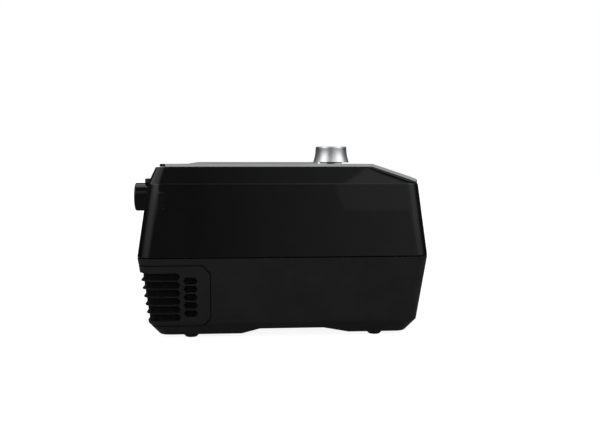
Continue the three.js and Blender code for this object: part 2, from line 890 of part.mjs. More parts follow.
function rubberFeet() {
  const names = ["front_left", "rear_left", "front_right", "rear_right"];
  return feetPlaces().map(([x, y], i) => {
    const under = baseHeight - fit.seat;
    const points = [
      [0, 0],
      [foot.tipRadius, 0],
      [(foot.tipRadius + foot.radius) / 2, under / 4],
      [foot.radius, (3 * under) / 4],
      [foot.radius, under],
      [foot.stem, under],
      [foot.stem, under + foot.stemLength - fit.seat],
      [0, under + foot.stemLength - fit.seat],
    ];
    return piece("foot_" + names[i], revolve(points, x, y, facets.small), finish.rubber);
  });
}

function screws() {
  const low = baseHeight + fit.seat / 2;
  const headTop = low + screw.headHeight;
  return screwPlaces.map(([x, y], i) => {
    const points = [
      [0, low],
      [screw.head, low],
      [screw.head, headTop],
      [screw.shank, headTop],
      [screw.shank, headTop + screw.length - fit.seat],
      [0, headTop + screw.length],
    ];
    const [long, wide] = [screw.slotHalf, screw.slotWidth / 2];
    const depth = [0, low + screw.headHeight / 2];
    const slot = join(
      block([x - long, x + long], [y - wide, y + wide], depth),
      block([x - wide, x + wide], [y - long, y + long], depth),
    );
    return piece("housing_screw_" + (i + 1), cut(revolve(points, x, y, facets.small), slot), finish.steel);
  });
}

// Knob and encoder

function controlKnob() {
  const topRadius = knob.waistRadius - knob.draft;
  const cupRadius = topRadius - knob.rim;
  const recessRadius = knob.collarRadius + knob.collarGap;
  const points = [
    [knob.shaftRadius + fit.seat, recessTop],
    [recessRadius, recessTop],
    [recessRadius, knobLow],
    [knob.waistRadius + knob.flare, knobLow],
    ...flare(),
    [topRadius, knobHigh],
    [cupRadius, knobHigh],
    [cupRadius, shaftTop + fit.seat],
    [knob.shaftRadius + fit.seat, shaftTop + fit.seat],
    [knob.shaftRadius + fit.seat, recessTop],
  ];
  return piece("control_knob", revolve(points, displayX, knobY, facets.fine), finish.satinMetal);
}

// The concave flare of the knob, from its base to its waist.
function flare() {
  const points = [];
  for (let i = 1; i <= facets.flare; i++) {
    const share = i / facets.flare;
    const fall = (1 - share) * (1 - share);
    points.push([
      knob.waistRadius + knob.flare * fall,
      THREE.MathUtils.lerp(knobLow, knobHigh - knob.rim, share),
    ]);
  }
  return points;
}

function knobCap() {
  const radius = knob.waistRadius - knob.draft - knob.rim - fit.seat;
  const low = shaftTop + 2 * fit.seat;
  const high = knobHigh - knob.dish;
  const points = [
    [0, low],
    [radius, low],
    [radius, high],
    [radius * knob.dishShare, high - knob.dish / 2],
    [0, high - knob.dish],
  ];
  return piece("knob_cap", revolve(points, displayX, knobY, facets.fine), finish.glossBlack);
}

function knobCollar() {
  const low = deckTop + fit.seat;
  const bore = encoder.bushing + fit.seat;
  const points = [
    [bore, low],
    [knob.collarRadius, low],
    [knob.collarRadius, collarTop - fit.seam],
    [knob.collarRadius - fit.seam, collarTop],
    [bore, collarTop],
    [bore, low],
  ];
  return piece("knob_collar", revolve(points, displayX, knobY), finish.mattBlack);
}

function encoderShaft() {
  const low = encoderLow + encoder.plungerHeight + 3 * fit.seat + knob.press;
  const points = [
    [0, low],
    [knob.shaftRadius, low],
    [knob.shaftRadius, shaftTop],
    [0, shaftTop],
  ];
  return piece("encoder_shaft", revolve(points, displayX, knobY), finish.steel);
}

function encoderPlunger() {
  const low = encoderLow + knob.press + 2 * fit.seat;
  const points = [
    [0, low],
    [encoder.plunger, low],
    [encoder.plunger, low + encoder.plungerHeight],
    [0, low + encoder.plungerHeight],
  ];
  return piece("encoder_plunger", revolve(points, displayX, knobY), finish.whitePlastic);
}

function encoderBody() {
  const room = encoder.plunger + fit.seat;
  const shell = join(
    block(
      [displayX - encoder.half, displayX + encoder.half],
      [knobY - encoder.half, knobY + encoder.half],
      [encoderLow - encoder.floor, encoderHigh],
    ),
    rod("z", displayX, knobY, encoder.bushing, encoderHigh - fit.bond, deckTop - encoder.bushingDrop),
  );
  const plungerRoom = rod("z", displayX, knobY, room, encoderLow, encoderHigh - encoder.floor);
  const shaftRoom = rod("z", displayX, knobY, knob.shaftRadius + fit.seat, encoderLow, bayRoof);
  return piece("encoder_body", cut(shell, plungerRoom, shaftRoom), finish.satinBlack);
}

function encoderBoard() {
  const high = encoderLow - encoder.floor - fit.seat;
  const reach = encoder.boardHalf;
  const board = block(
    [displayX - reach, displayX + reach],
    [knobY - reach, knobY + reach],
    [high - keyBoard.thickness, high],
  );
  const posts = [];
  for (const x of [-1, 1]) {
    const centre = displayX + x * (reach - screw.hole);
    const top = deckHeight - body.wall - fit.seat;
    posts.push(rod("z", centre, knobY, screw.hole, high - fit.bond, top, facets.small));
  }
  return piece("encoder_board", join(board, ...posts), finish.circuit);
}

// Display and keys

function displayLens() {
  const [u, v] = [display.halfLength, display.halfHeight];
  const shape = roundedRectangle([-u, u], [-v, v], display.corner);
  return piece("display_lens", slopePrism(displayX, shape, fit.seat, slopeSkin), finish.lens);
}

function displayModule() {
  const rim = display.ledge + fit.seat;
  const [u, v] = [display.halfLength - rim, display.halfHeight - rim];
  const glass = roundedRectangle([-u, u], [-v, v], display.corner - fit.seat);
  return piece("display_module", slopePrism(displayX, glass, -display.module, 0), finish.mattBlack);
}

function keyCaps() {
  return keys.map(({ name, x, radius }) => {
    const top = slopeSkin + key.proud;
    const waist = radius - key.flange - fit.seat;
    const points = [
      [0, -key.stemLength],
      [key.stem, -key.stemLength],
      [key.stem, -body.wall / 2],
      [waist, -body.wall / 2],
      [waist, key.travel + fit.seat],
      [radius, key.travel + fit.seat],
      [radius, top - key.crown],
      [radius - key.crown, top],
      [0, top + key.crown],
    ];
    const geometry = new THREE.LatheGeometry(
      points.map(([r, h]) => new THREE.Vector2(r, h)),
      facets.plain,
    );
    geometry.rotateX(Math.PI / 2);
    geometry.applyMatrix4(onSlope(x));
    return piece(name, solid(geometry), finish.satinBlack);
  });
}

function controlBoard() {
  const ends = keys.map(({ x }) => x);
  const [first, last] = [Math.min(...ends) - keyBoard.margin, Math.max(...ends) + keyBoard.margin];
  const high = -key.stemLength - key.travel - fit.seat - keyBoard.switchHeight;
  const shape = polygon([
    [first, -keyBoard.halfHeight],
    [last, -keyBoard.halfHeight],
    [last, keyBoard.halfHeight],
    [first, keyBoard.halfHeight],
  ]);
  let board = slopePrism(0, shape, high - keyBoard.thickness, high);
  const half = keyBoard.switchHalf;
  const square = roundedRectangle([-half, half], [-half, half], half / 4);
  for (const { x } of keys) {
    board = join(board, slopePrism(x, square, high - fit.bond, high + keyBoard.switchHeight));
  }
  const rest = roundedRectangle([-display.halfLength / 2, display.halfLength / 2], [-half, half], half / 2);
  board = join(board, slopePrism(displayX, rest, high - fit.bond, -display.module - fit.seat));
  return piece("control_board", board, finish.circuit);
}

// Air outlet, contact block, data port and power inlet

function contactBlock(margin, front) {
  return block(
    [outlet.x - contact.halfWidth - margin, outlet.x + contact.halfWidth + margin],
    [front, body.halfDepth + contact.reach],
    [contactLow - margin, contactLow + contact.height + margin],
  );
}

function airOutlet() {
  const start = outletFace();
  const profile = [
    [outletBore, start],
    [outletFlange, start],
    [outletFlange, start + outlet.flangeThickness],
    [outlet.radius, start + outlet.flangeThickness],
    [outlet.radius, outletRear - outlet.edge],
    [outlet.radius - outlet.edge / 3, outletRear - outlet.edge / 3],
    [outlet.radius - outlet.edge, outletRear],
    [outletBore, outletRear],
    [outletBore, start],
  ];
  const geometry = new THREE.LatheGeometry(
    profile.map(([radius, along]) => new THREE.Vector2(radius, along)),
    facets.fine,
  );
  geometry.translate(outlet.x, 0, 0);
  geometry.translate(0, 0, portHeight);
  return piece("air_outlet", cut(solid(geometry), contactBlock(fit.seat, 0)), finish.satinBlack);
}

// How far from the parting line up to the crease a height lies, as a share.
function upperShare(height) {
  return (height - partingHeight) / (creaseHeight - partingHeight);
}

// Where the flange of the outlet starts, just inside the leaning rear wall.
function outletFace() {
  const wall = body.halfDepth - body.crease.rear * upperShare(portHeight + outletFlange);
  return wall - body.wall - fit.seat - outlet.flangeThickness;
}

function heatedTubeContact() {
  const made = contactBlock(0, outletFace() - outlet.flangeThickness);
  return piece("heated_tube_contact", made, finish.mattBlack);
}

function portCover() {
  const wallX = leftWallAt((dataPortLow + dataPortHigh) / 2);
  const from = wallX + dataPort.recess;
  const plate = prism("x", portSlot(-fit.seat), from, from + dataPort.cover);
  return piece("port_cover", plate, finish.rubber);
}

// The left wall's outer face at a height above the parting line.
function leftWallAt(height) {
  return -body.halfWidth + body.crease.side * upperShare(height);
}

function dataSocket() {
  const start = leftWallAt(dataPortHigh + dataPort.shell) + body.wall + fit.seat;
  const end = start + dataPort.depth;
  const can = prism("x", portSlot(dataPort.shell), start, end);
  const hollow = prism("x", portSlot(-dataPort.shell), start - fit.overrun, end - dataPort.shell);
  return piece("data_socket", cut(can, hollow), finish.steel);
}

// The rear wall's outer face at a height below the parting line.
function rearWallAt(height) {
  const share = (partingHeight - height) / (partingHeight - chamferHeight);
  return body.halfDepth - body.chamfer.rear * share;
}

function powerInlet() {
  const [x, z, half] = [inletX, inletHeight, inlet.half];
  const wide = half + inlet.flange;
  const face = rearWallAt(z) - fit.seam;
  const back = face - inlet.depth + inlet.flange;
  const shape = roundedRectangle([x - half, x + half], [z - half, z + half], inlet.flange);
  const flange = roundedRectangle([x - wide, x + wide], [z - wide, z + wide], inlet.flange);
  const inner = rearWallAt(z - wide) - body.wall - fit.seat;
  let made = join(
    prism("y", shape, face - inlet.depth, face),
    prism("y", flange, inner - inlet.flange, inner),
  );
  made = cut(made, rod("y", x, z, inlet.bore, back, face + fit.overrun));
  made = join(made, rod("y", x, z, inlet.pin, back - fit.bond, back + inlet.pinReach, facets.small));
  return piece("power_inlet", made, finish.satinBlack);
}

// Blower

// The spiral outline of the blower, moved outwards by a margin; it starts and ends towards the front.
function spiral(margin) {
  const points = [];
  for (let i = 0; i <= blower.spiralSteps; i++) {
    const share = i / blower.spiralSteps;
    const angle = -Math.PI / 2 + share * 2 * Math.PI;
    const radius = THREE.MathUtils.lerp(scrollLeast, scrollMost, share) + margin;
    points.push([blowerX + radius * Math.cos(angle), blower.y + radius * Math.sin(angle)]);
  }
  return polygon(points);
}

// The straight outlet passage of the blower, moved outwards by a margin.
function outletPassage(margin, reach, low, high) {
  return block(
    [blowerX - margin, blowerX + reach],
    [blower.y - scrollMost - margin, blower.y - scrollLeast + margin],
    [low, high],
  );
}

function volute(name, low, high, floorLow, roofHigh, bore) {
  const outside = join(
    prism("z", spiral(blower.wall), low, high),
    outletPassage(blower.wall, scrollReach, low, high),
  );
  const inside = join(
    prism("z", spiral(0), floorLow, roofHigh),
    outletPassage(0, scrollReach + fit.overrun, floorLow, roofHigh),
  );
  const opening = rod("z", blowerX, blower.y, bore, low - fit.overrun, high + fit.overrun, facets.fine);
  return piece(name, cut(outside, inside, opening), finish.whitePlastic);
}

function blowerHousing() {
  const seam = fit.seat / 2;
  return [
    volute(
      "blower_lower_volute",
      blowerLow,
      blowerSplit - seam,
      blowerLow + blower.wall,
      blowerSplit + fit.overrun,
      blower.eye,
    ),
    volute(
      "blower_upper_volute",
      blowerSplit + seam,
      blowerHigh,
      blowerSplit - fit.overrun,
      blowerHigh - blower.wall,
      blower.shaft * 2,
    ),
  ];
}

// One backward-curved blade, as a thin strip whose middle line turns as it moves out.
function blade(turn) {
  const [inner, outer] = [[], []];
  for (let i = 0; i <= facets.blade; i++) {
    const share = i / facets.blade;
    const radius = THREE.MathUtils.lerp(blower.bladeInner, blower.impellerRadius, share);
    const half = blower.bladeThickness / 2 / radius;
    const angle = turn - blower.bladeSweep * share;
    inner.push([blowerX + radius * Math.cos(angle - half), blower.y + radius * Math.sin(angle - half)]);
    outer.push([blowerX + radius * Math.cos(angle + half), blower.y + radius * Math.sin(angle + half)]);
  }
  return prism("z", polygon([...inner, ...outer.reverse()]), bladeLow, backLow + fit.bond);
}

function impeller() {
  const back = backLow + blower.backThickness;
  let wheel = revolve(
    [
      [0, bladeLow],
      [blower.hubTip, bladeLow],
      [blower.hub, backLow - blower.hub],
      [blower.bladeInner, backLow],
      [blower.impellerRadius, backLow],
      [blower.impellerRadius, back],
      [0, back],
    ],
    blowerX,
    blower.y,
    facets.fine,
  );
  for (let i = 0; i < blower.blades; i++) {
    wheel = join(wheel, blade((i * 2 * Math.PI) / blower.blades));
  }
  const bore = rod("z", blowerX, blower.y, blower.shaft + fit.seat, shaftLow, blowerHigh);
  return piece("impeller", cut(wheel, bore), finish.whitePlastic);
}

function motorShaft() {
  const low = shaftLow + fit.seat;
  const high = blowerHigh + blower.motorFloor + blower.wall;
  return piece("motor_shaft", rod("z", blowerX, blower.y, blower.shaft, low, high), finish.steel);
}

function motor() {
  const low = blowerHigh + fit.seat;
  const high = blowerHigh + blower.motorHeight;
  const shoulder = high - blower.wall;
  const can = revolve(
    [
      [0, low],
      [blower.motorRadius, low],
      [blower.motorRadius, shoulder],
      [blower.motorRadius - blower.wall, high],
      [0, high],
    ],
    blowerX,
    blower.y,
    facets.fine,
  );
  const room = blowerHigh + blower.motorFloor + blower.wall + fit.seat;
  const bore = rod("z", blowerX, blower.y, blower.shaft + fit.seat, 0, room);
  return piece("motor", cut(can, bore), finish.aluminium);
}

function blowerMounts() {
  const mounts = [];
  const high = blowerLow - fit.seat;
  for (let i = 0; i < mount.count; i++) {
    const angle = mount.startAngle + (i * 2 * Math.PI) / mount.count;
    const floor = floorTop + mountLift(Math.sin(angle) * mount.orbit + blower.y);
    const middle = (floor + high) / 2;
    const points = [
      [0, floor],
      [mount.radius, floor],
      [mount.neck, middle],
      [mount.radius, high],
      [0, high],
    ];
    const x = blowerX + mount.orbit * Math.cos(angle);
    const y = blower.y + mount.orbit * Math.sin(angle);
    mounts.push(piece("blower_mount_" + (i + 1), revolve(points, x, y), finish.rubber));
  }
  return mounts;
}

// How far the floor rises under a mount that stands over the grip arch.
function mountLift(y) {
  const margin = body.wall + mount.radius;
  const overArch = y < archFoot.rear + margin && y > archFoot.front - margin;
  return overArch ? arch.rise : 0;
}

// Ducts and gaskets

// A round tube along a smooth route, open at both ends.
function tube(route) {
  const curve = new THREE.CatmullRomCurve3(route);
  const steps = facets.tubeSteps;
  const { tangents, normals, binormals } = curve.computeFrenetFrames(steps);
  const ring = (step, radius, push) => {
    const middle = curve.getPointAt(step / steps).addScaledVector(tangents[step], push);
    const points = [];
    for (let side = 0; side < facets.tubeSides; side++) {
      const angle = (side * 2 * Math.PI) / facets.tubeSides;
      const point = middle.clone().addScaledVector(normals[step], radius * Math.cos(angle));
      points.push(point.addScaledVector(binormals[step], radius * Math.sin(angle)));
    }
    return points;
  };
  const along = (radius) => tangents.map((_, step) => ring(step, radius, 0));
  const bore = along(port.bore);
  bore.unshift(ring(0, port.bore, -fit.overrun));
  bore.push(ring(steps, port.bore, fit.overrun));
  return cut(loft(along(port.bore + duct.wall)), loft(bore));
}

// The duct from the blower up to the tank's inlet port.
function blowerDuct() {
  const y = blower.y - (scrollLeast + scrollMost) / 2;
  const z = (blowerLow + blowerHigh) / 2;
  const start = blowerX + scrollReach + fit.seat;
  const end = gasketFace - fit.seat;
  const rise = (start + end) / 2;
  const half = duct.bendRadius / 2;
  const route = [
    [start, y, z],
    [rise - duct.bendRadius, y, z],
    [rise - half / 2, y + half / 2, z + half],
    [rise, (y + inletPortY) / 2, (z + portHeight) / 2],
    [rise + half / 4, inletPortY - half / 4, portHeight - duct.bendRadius],
    [end - half, inletPortY, portHeight],
    [end, inletPortY, portHeight],
  ];
  return piece("blower_duct", tube(route.map((place) => new THREE.Vector3(...place))), finish.mattBlack);
}

// The duct from the tank's outlet port to the air outlet.
function returnDuct() {
  const start = gasketFace - fit.seat;
  const end = outletFace() - fit.seat;
  const z = portHeight;
  const route = [
    [start, outletPortY, z],
    [start - port.bore / 2, outletPortY, z],
    [outlet.x + port.bore, outletPortY + port.bore / 3, z],
    [outlet.x, (outletPortY + end) / 2, z],
    [outlet.x, end - port.bore / 2, z],
    [outlet.x, end, z],
  ];
  return piece("return_duct", tube(route.map((place) => new THREE.Vector3(...place))), finish.mattBlack);
}

// The gaskets, which sit in the left wall of the bay.
function gaskets() {
  const from = gasketFace;
  const to = bay.left - fit.seat;
  const places = { inlet_gasket: inletPortY, outlet_gasket: outletPortY };
  return Object.entries(places).map(([name, y]) => {
    const beadRadius = port.bore + port.gasketLip;
    const bead = rod("x", y, portHeight, beadRadius, from, to);
    const flangeEnd = bay.left - bay.wall - fit.seat;
    const flange = rod("x", y, portHeight, beadRadius + port.gasketFlange, from, flangeEnd);
    const hole = rod("x", y, portHeight, port.bore, from - fit.overrun, to + fit.overrun);
    return piece(name, cut(join(bead, flange), hole), finish.rubber);
  });
}

// Tank bay, heater, tank and lid

function tankBay() {
  const outside = common(bayBlock(bay.wall), bodyForm(body.wall + fit.seat));
  const roof = deckHeight - body.wall - fit.seat;
  let made = cut(outside, bayBlock(0), block([0, right], [-body.halfDepth, body.halfDepth], [roof, bayRoof]));
  for (const y of [inletPortY, outletPortY]) {
    const hole = port.bore + port.gasketLip + fit.seat;
    made = cut(made, rod("x", y, portHeight, hole, 0, bay.left + fit.overrun));
  }
  made = cut(made, prism("z", heaterShape(fit.seat), 0, bay.floor + fit.overrun));
  return piece("tank_bay", made, finish.satinBlack);
}

// The rounded outline of the heater plate, grown by a margin.
function heaterShape(margin) {
  const across = [bay.left + heater.leftMargin - margin, body.halfWidth - heater.rightMargin + margin];
  const along = [bayFront + heater.sideMargin - margin, bayRear - heater.sideMargin + margin];
  return roundedRectangle(across, along, heater.corner + margin);
}

function heaterPlate() {
  const top = bay.floor + heater.lift;
  const plate = prism("z", heaterShape(0), top - heater.thickness, top);
  return piece("heater_plate", plate, finish.aluminium);
}

function heaterInsulator() {
  const top = bay.floor + heater.lift - heater.thickness - fit.seat;
  const low = floorTop + arch.rise;
  return piece("heater_insulator", prism("z", heaterShape(-heater.insulator), low, top), finish.whitePlastic);
}

// The inside of the bay that the tank fills, with its sliding clearance and one more margin.
function tankBlock(margin) {
  const gap = fit.slide + margin;
  const floor = bay.floor + heater.lift + fit.seat + tank.basePlate + margin;
  return block([bay.left + gap, right], [bayFront + gap, bayRear - gap], [floor, bayRoof]);
}

function tankTub() {
  const depth = tank.panel + fit.seat;
  const low = block([bay.left, right], [bayFront, bayRear], [0, tankTop]);
  const outside = common(tankBlock(0), bodyForm(depth), low);
  const inside = common(tankBlock(tank.wall), bodyForm(depth + tank.wall));
  const mouth = common(
    block(
      [bay.left + tank.wall + fit.slide, body.halfWidth - body.deck.side - depth - tank.wall],
      [bayFront + tank.wall + fit.slide, lidAxis.y - lid.knuckle - tank.wall - fit.seat],
      [waterShelf, bayRoof],
    ),
  );
  let tub = cut(outside, inside, mouth);
  const shoulder = block(
    [bay.left, right],
    [lidAxis.y - lid.knuckle - fit.seat, bayRear],
    [lidAxis.z - lid.knuckle - fit.seat, bayRoof],
  );
  tub = cut(tub, shoulder);
  for (const [from, to] of earRanges()) {
    const ear = join(
      rod("x", lidAxis.y, lidAxis.z, lid.knuckle - fit.seat, from, to),
      block([from, to], [lidAxis.y - lid.knuckle, lidAxis.y + lid.knuckle - fit.seat], [
        lidAxis.z - 2 * lid.knuckle,
        lidAxis.z,
      ]),
    );
    tub = join(tub, ear);
  }
  tub = cut(tub, rod("x", lidAxis.y, lidAxis.z, lid.pin + fit.seat / 2, bay.left, right));
  for (const y of [inletPortY, outletPortY]) {
    tub = cut(tub, rod("x", y, portHeight, port.bore, 0, bay.left + tank.wall + fit.slide + fit.overrun));
  }
  return piece("tank_tub", tub, finish.smoke);
}

// Where the tub's two hinge ears stand along the lid's axis.
function earRanges() {
  const [left, far] = [bay.left + lid.earMargin, lidRight() - lid.earMargin];
  return [
    [left, left + lid.earLength],
    [far - lid.earLength, far],
  ];
}

function lidRight() {
  return body.halfWidth - body.deck.side - cover.sideSetback;
}

function tankBasePlate() {
  const low = bay.floor + heater.lift + fit.seat;
  const plate = prism("z", heaterShape(-heater.corner / 2), low, low + tank.basePlate - fit.seat);
  return piece("tank_base_plate", plate, finish.steel);
}

function tankFrontPanel() {
  const gap = fit.seam - fit.seat;
  const zone = block(
    [body.halfWidth - body.deck.side - tank.panel, right],
    [bayFront - bay.wall + gap, bayRear + bay.wall - gap],
    [bay.floor - bay.wall + gap, tankTop],
  );
  let panel = common(cut(outerForm, bodyForm(tank.panel)), zone);
  const middle = (bayFront + bayRear) / 2;
  const gripHeight = bay.floor + tank.gripRise;
  const pull = new THREE.Shape();
  pull.absarc(middle - tank.gripHalf, gripHeight, tank.gripRadius, Math.PI / 2, (3 * Math.PI) / 2);
  pull.absarc(middle + tank.gripHalf, gripHeight, tank.gripRadius, -Math.PI / 2, Math.PI / 2);
  const scoop = cut(prism("x", pull, 0, right, facets.small), bodyForm(tank.panel * tank.gripShare));
  panel = cut(panel, scoop);
  return piece("tank_front_panel", panel, finish.glossBlack);
}

function splashGuard() {
  const gap = tank.wall + fit.slide + fit.seat;
  const reach = (bay.left + lidRight()) / 2;
  const plate = block(
    [bay.left + gap, reach],
    [bayFront + gap, bayRear - gap],
    [waterShelf - tank.wall, waterShelf],
  );
  const skirt = block(
    [reach - tank.wall, reach],
    [bayFront + gap, bayRear - gap],
    [waterShelf - port.bore, waterShelf],
  );
  const middle = (inletPortY + outletPortY) / 2;
  const drop = rod("z", (bay.left + gap + reach) / 2, middle, port.bore, 0, bayRoof);
  return piece("splash_guard", cut(join(plate, skirt), drop), finish.smoke);
}

function tankLid() {
  const edge = lid.edge;
  const front = bayFront;
  const outline = new THREE.Shape();
  outline.moveTo(lidAxis.y - lid.knuckle, lidUnderside);
  outline.lineTo(front + edge / 2, lidUnderside);
  outline.lineTo(front, lidUnderside + edge / 2);
  outline.lineTo(front, lidTop - edge);
  outline.lineTo(front + edge, lidTop);
  outline.lineTo(lidAxis.y - lid.rampRun, lidTop);
  outline.absarc(lidAxis.y, lidAxis.z, lid.knuckle, Math.PI / 2, -Math.PI, true);
  let plate = prism("x", outline, bay.left - bay.wall + fit.seam, lidRight(), facets.small);
  for (const [from, to] of earRanges()) {
    const gap = fit.seat + fit.seat / 2;
    const room = lid.knuckle + fit.seat;
    plate = cut(plate, rod("x", lidAxis.y, lidAxis.z, room, from - gap, to + gap, facets.small));
  }
  const tubRight = body.halfWidth - body.deck.side - tank.panel;
  const swingStart = lidAxis.y + lidAxis.z - tankTop - fit.seat;
  const ends = [
    [0, bay.left + fit.slide],
    [tubRight - fit.slide, right],
  ];
  for (const end of ends) {
    const under = block(end, [0, body.halfDepth], [0, lidUnderside]);
    const behind = block(end, [swingStart, body.halfDepth], [0, bayRoof]);
    plate = cut(plate, under, behind);
  }
  plate = cut(
    plate,
    rod("x", lidAxis.y, lidAxis.z, lid.pin + fit.seat, bay.left - fit.overrun, right),
  );
  const [outerRim, innerRim] = [lidRim(0), lidRim(lid.rimThickness)];
  const rim = cut(
    prism("z", outerRim, lidUnderside - lid.rimDepth, lidUnderside + fit.bond),
    prism("z", innerRim, 0, lidUnderside),
  );
  return piece("tank_lid", join(plate, rim), finish.glossBlack);
}

// The rim under the lid that drops into the mouth of the tub, moved inwards by a margin.
function lidRim(margin) {
  const gap = tank.wall + fit.slide + lid.sealDepth + margin;
  const far = body.halfWidth - body.deck.side - tank.panel - tank.wall - fit.slide - lid.sealDepth - margin;
  const rear = lidAxis.y - lid.knuckle - tank.wall - 2 * lid.sealDepth - margin;
  return roundedRectangle([bay.left + gap, far], [bayFront + gap, rear], body.leastRadius);
}

function lidSeal() {
  const high = lidUnderside - fit.seat;
  const ring = cut(
    prism("z", lidRim(-lid.sealDepth + fit.seat), high - lid.sealDepth, high),
    prism("z", lidRim(-fit.seat), 0, bayRoof),
  );
  return piece("lid_seal", ring, finish.rubber);
}

function lidHingePin() {
  const [[from], [, to]] = earRanges();
  const pin = rod("x", lidAxis.y, lidAxis.z, lid.pin, from - lid.pin, to + lid.pin);
  return piece("lid_hinge_pin", pin, finish.steel);
}

// Muffler and main board

function inletMuffler() {
  const rear = filterSpan.front - muffler.filterGap;
  const along = [rear - muffler.length, rear];
  const shape = roundedRectangle([mufflerLeft, mufflerRight], along, body.leastRadius);
  const upright = prism("z", shape, baseHeight + body.wall + muffler.lift, partingHeight - muffler.drop);
  const foam = common(upright, bodyForm(body.wall + fit.seat));
  return piece("inlet_muffler", cut(foam, archBlock(body.wall + fit.seat)), finish.foam);
}

function mainBoardPiece() {
  const [left, end] = [mainBoard.sideInset - body.halfWidth, bay.left - mainBoard.bayGap];
  const front = mainBoard.frontInset - body.halfDepth;
  const rear = blower.y - scrollMost - blower.wall - mainBoard.blowerGap;
  const low = baseHeight + body.wall + mainBoard.lift;
  const top = low + mainBoard.thickness;
  let board = block([left, end], [front, rear], [low, top]);
  for (const [x, y] of screwPlaces) {
    board = cut(board, rod("z", x, y, screw.boss + fit.slide, 0, bayRoof));
  }
  mainBoard.standoffShares.forEach((share, i) => {
    const x = THREE.MathUtils.lerp(left, end, share);
    const standY = front + 2 * mainBoard.standoff;
    board = join(board, rod("z", x, standY, mainBoard.standoff, floorTop, low + fit.bond, facets.small));
    const capHigh = top + mainBoard.capHeights[i];
    board = join(board, rod("z", x, (front + rear) / 2, mainBoard.capRadius, low, capHigh));
  });
  return piece("main_board", board, finish.circuit);
}

// The assembly, with the origin under the middle of its overall depth
const machine = new THREE.Group();
machine.add(
  upperHousing(),
  lowerHousing(),
  topCover(),
  filterCover(),
  filterFrame(),
  airFilter(),
  ...rubberFeet(),
  ...screws(),
  controlKnob(),
  knobCap(),
  knobCollar(),
  encoderShaft(),
  encoderPlunger(),
  encoderBody(),
  encoderBoard(),
  displayLens(),
  displayModule(),
  ...keyCaps(),
  controlBoard(),
  airOutlet(),
  heatedTubeContact(),
  portCover(),
  dataSocket(),
  powerInlet(),
  ...blowerHousing(),
  impeller(),
  motorShaft(),
  motor(),
  ...blowerMounts(),
  blowerDuct(),
  returnDuct(),
  ...gaskets(),
  tankBay(),
  heaterPlate(),
  heaterInsulator(),
  tankTub(),
  tankBasePlate(),
  tankFrontPanel(),
  splashGuard(),
  tankLid(),
  lidSeal(),
  lidHingePin(),
  inletMuffler(),
  mainBoardPiece(),
);
machine.position.y = -outlet.reach / 2;

export default machine;
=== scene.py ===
"""Dresses a packed bedside breathing machine for a studio picture.

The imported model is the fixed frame. Each sub-assembly is a class that finishes its own nodes,
rounds their edges and makes the pieces that are finer than the frame's. Lengths are metres, +X
runs to the machine's right, +Y to its rear and +Z up.
"""

import json
import logging
import math
from dataclasses import dataclass
from enum import Enum
from typing import Callable, Iterable, Sequence

import bmesh
import bpy
from mathutils import Matrix, Vector


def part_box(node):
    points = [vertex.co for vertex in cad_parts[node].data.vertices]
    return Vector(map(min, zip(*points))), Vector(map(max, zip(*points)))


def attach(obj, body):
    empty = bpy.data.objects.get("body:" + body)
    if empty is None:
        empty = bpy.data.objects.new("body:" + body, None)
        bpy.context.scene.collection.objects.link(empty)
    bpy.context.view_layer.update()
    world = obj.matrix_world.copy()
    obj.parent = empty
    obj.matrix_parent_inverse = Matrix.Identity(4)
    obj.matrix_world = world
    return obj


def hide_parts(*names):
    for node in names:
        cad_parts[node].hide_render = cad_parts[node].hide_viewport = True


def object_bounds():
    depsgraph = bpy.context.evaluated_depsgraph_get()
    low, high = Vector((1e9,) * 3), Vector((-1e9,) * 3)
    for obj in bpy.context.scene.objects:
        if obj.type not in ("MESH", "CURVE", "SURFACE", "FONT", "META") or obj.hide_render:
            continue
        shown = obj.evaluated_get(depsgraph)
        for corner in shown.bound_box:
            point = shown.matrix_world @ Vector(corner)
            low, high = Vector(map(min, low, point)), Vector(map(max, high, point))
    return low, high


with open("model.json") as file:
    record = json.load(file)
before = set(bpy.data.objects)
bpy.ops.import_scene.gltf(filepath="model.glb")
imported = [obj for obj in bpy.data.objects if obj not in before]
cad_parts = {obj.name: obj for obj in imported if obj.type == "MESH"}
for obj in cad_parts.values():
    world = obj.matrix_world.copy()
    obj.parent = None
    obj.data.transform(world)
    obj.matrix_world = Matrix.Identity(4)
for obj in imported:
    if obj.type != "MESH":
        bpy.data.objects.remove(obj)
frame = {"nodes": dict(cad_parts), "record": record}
CAD_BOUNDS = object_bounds()

log = logging.getLogger("machine")

Colour = tuple[float, float, float]
Corner = tuple[float, float, float]
Point = tuple[float, float]
Span = tuple[float, float]
Socket = bpy.types.NodeSocket
Value = float | Socket

WHITE = (1.0, 1.0, 1.0, 1.0)
MM = 0.001

BEVEL_ANGLE = math.radians(23.5)  # an edge that bends more than this is rounded
SHARP_ANGLE = math.radians(40.0)  # an edge that bends more than this is shaded sharp
FLAT_ANGLE = math.radians(0.3)  # faces that bend less than this are one
WELD = 0.002 * MM  # corners that are closer than this are one
ROOM = 4.0  # the shortest edge at a rounded edge's ends, in widths of the rounding
LARGE_FACE_WEIGHT = 95  # how much large faces lead the normals, out of 100
ALIKE_AREA = 400.0 * MM * MM  # faces whose areas differ by less lead the normals alike
NOISE_SPAN = (0.3, 0.7)  # nearly all of a noise lies within this
ON_AXIS = 1e-7  # a turned point that is closer to the axis than this lies on it
MITRE_LIMIT = 0.4  # the least cosine that a mitred corner's width is divided by


class Grain(Enum):
    """The size and the depth of a moulding's surface texture, in metres."""

    POLISHED = (9 * MM, 0.004 * MM)
    SATIN = (0.35 * MM, 0.004 * MM)
    SPARK = (0.22 * MM, 0.014 * MM)


class EdgeStyle(Enum):
    """How far the edges of a piece are rounded, in metres."""

    NONE = 0.0
    HAIR = 0.12 * MM
    FINE = 0.25 * MM
    SOFT = 0.5 * MM


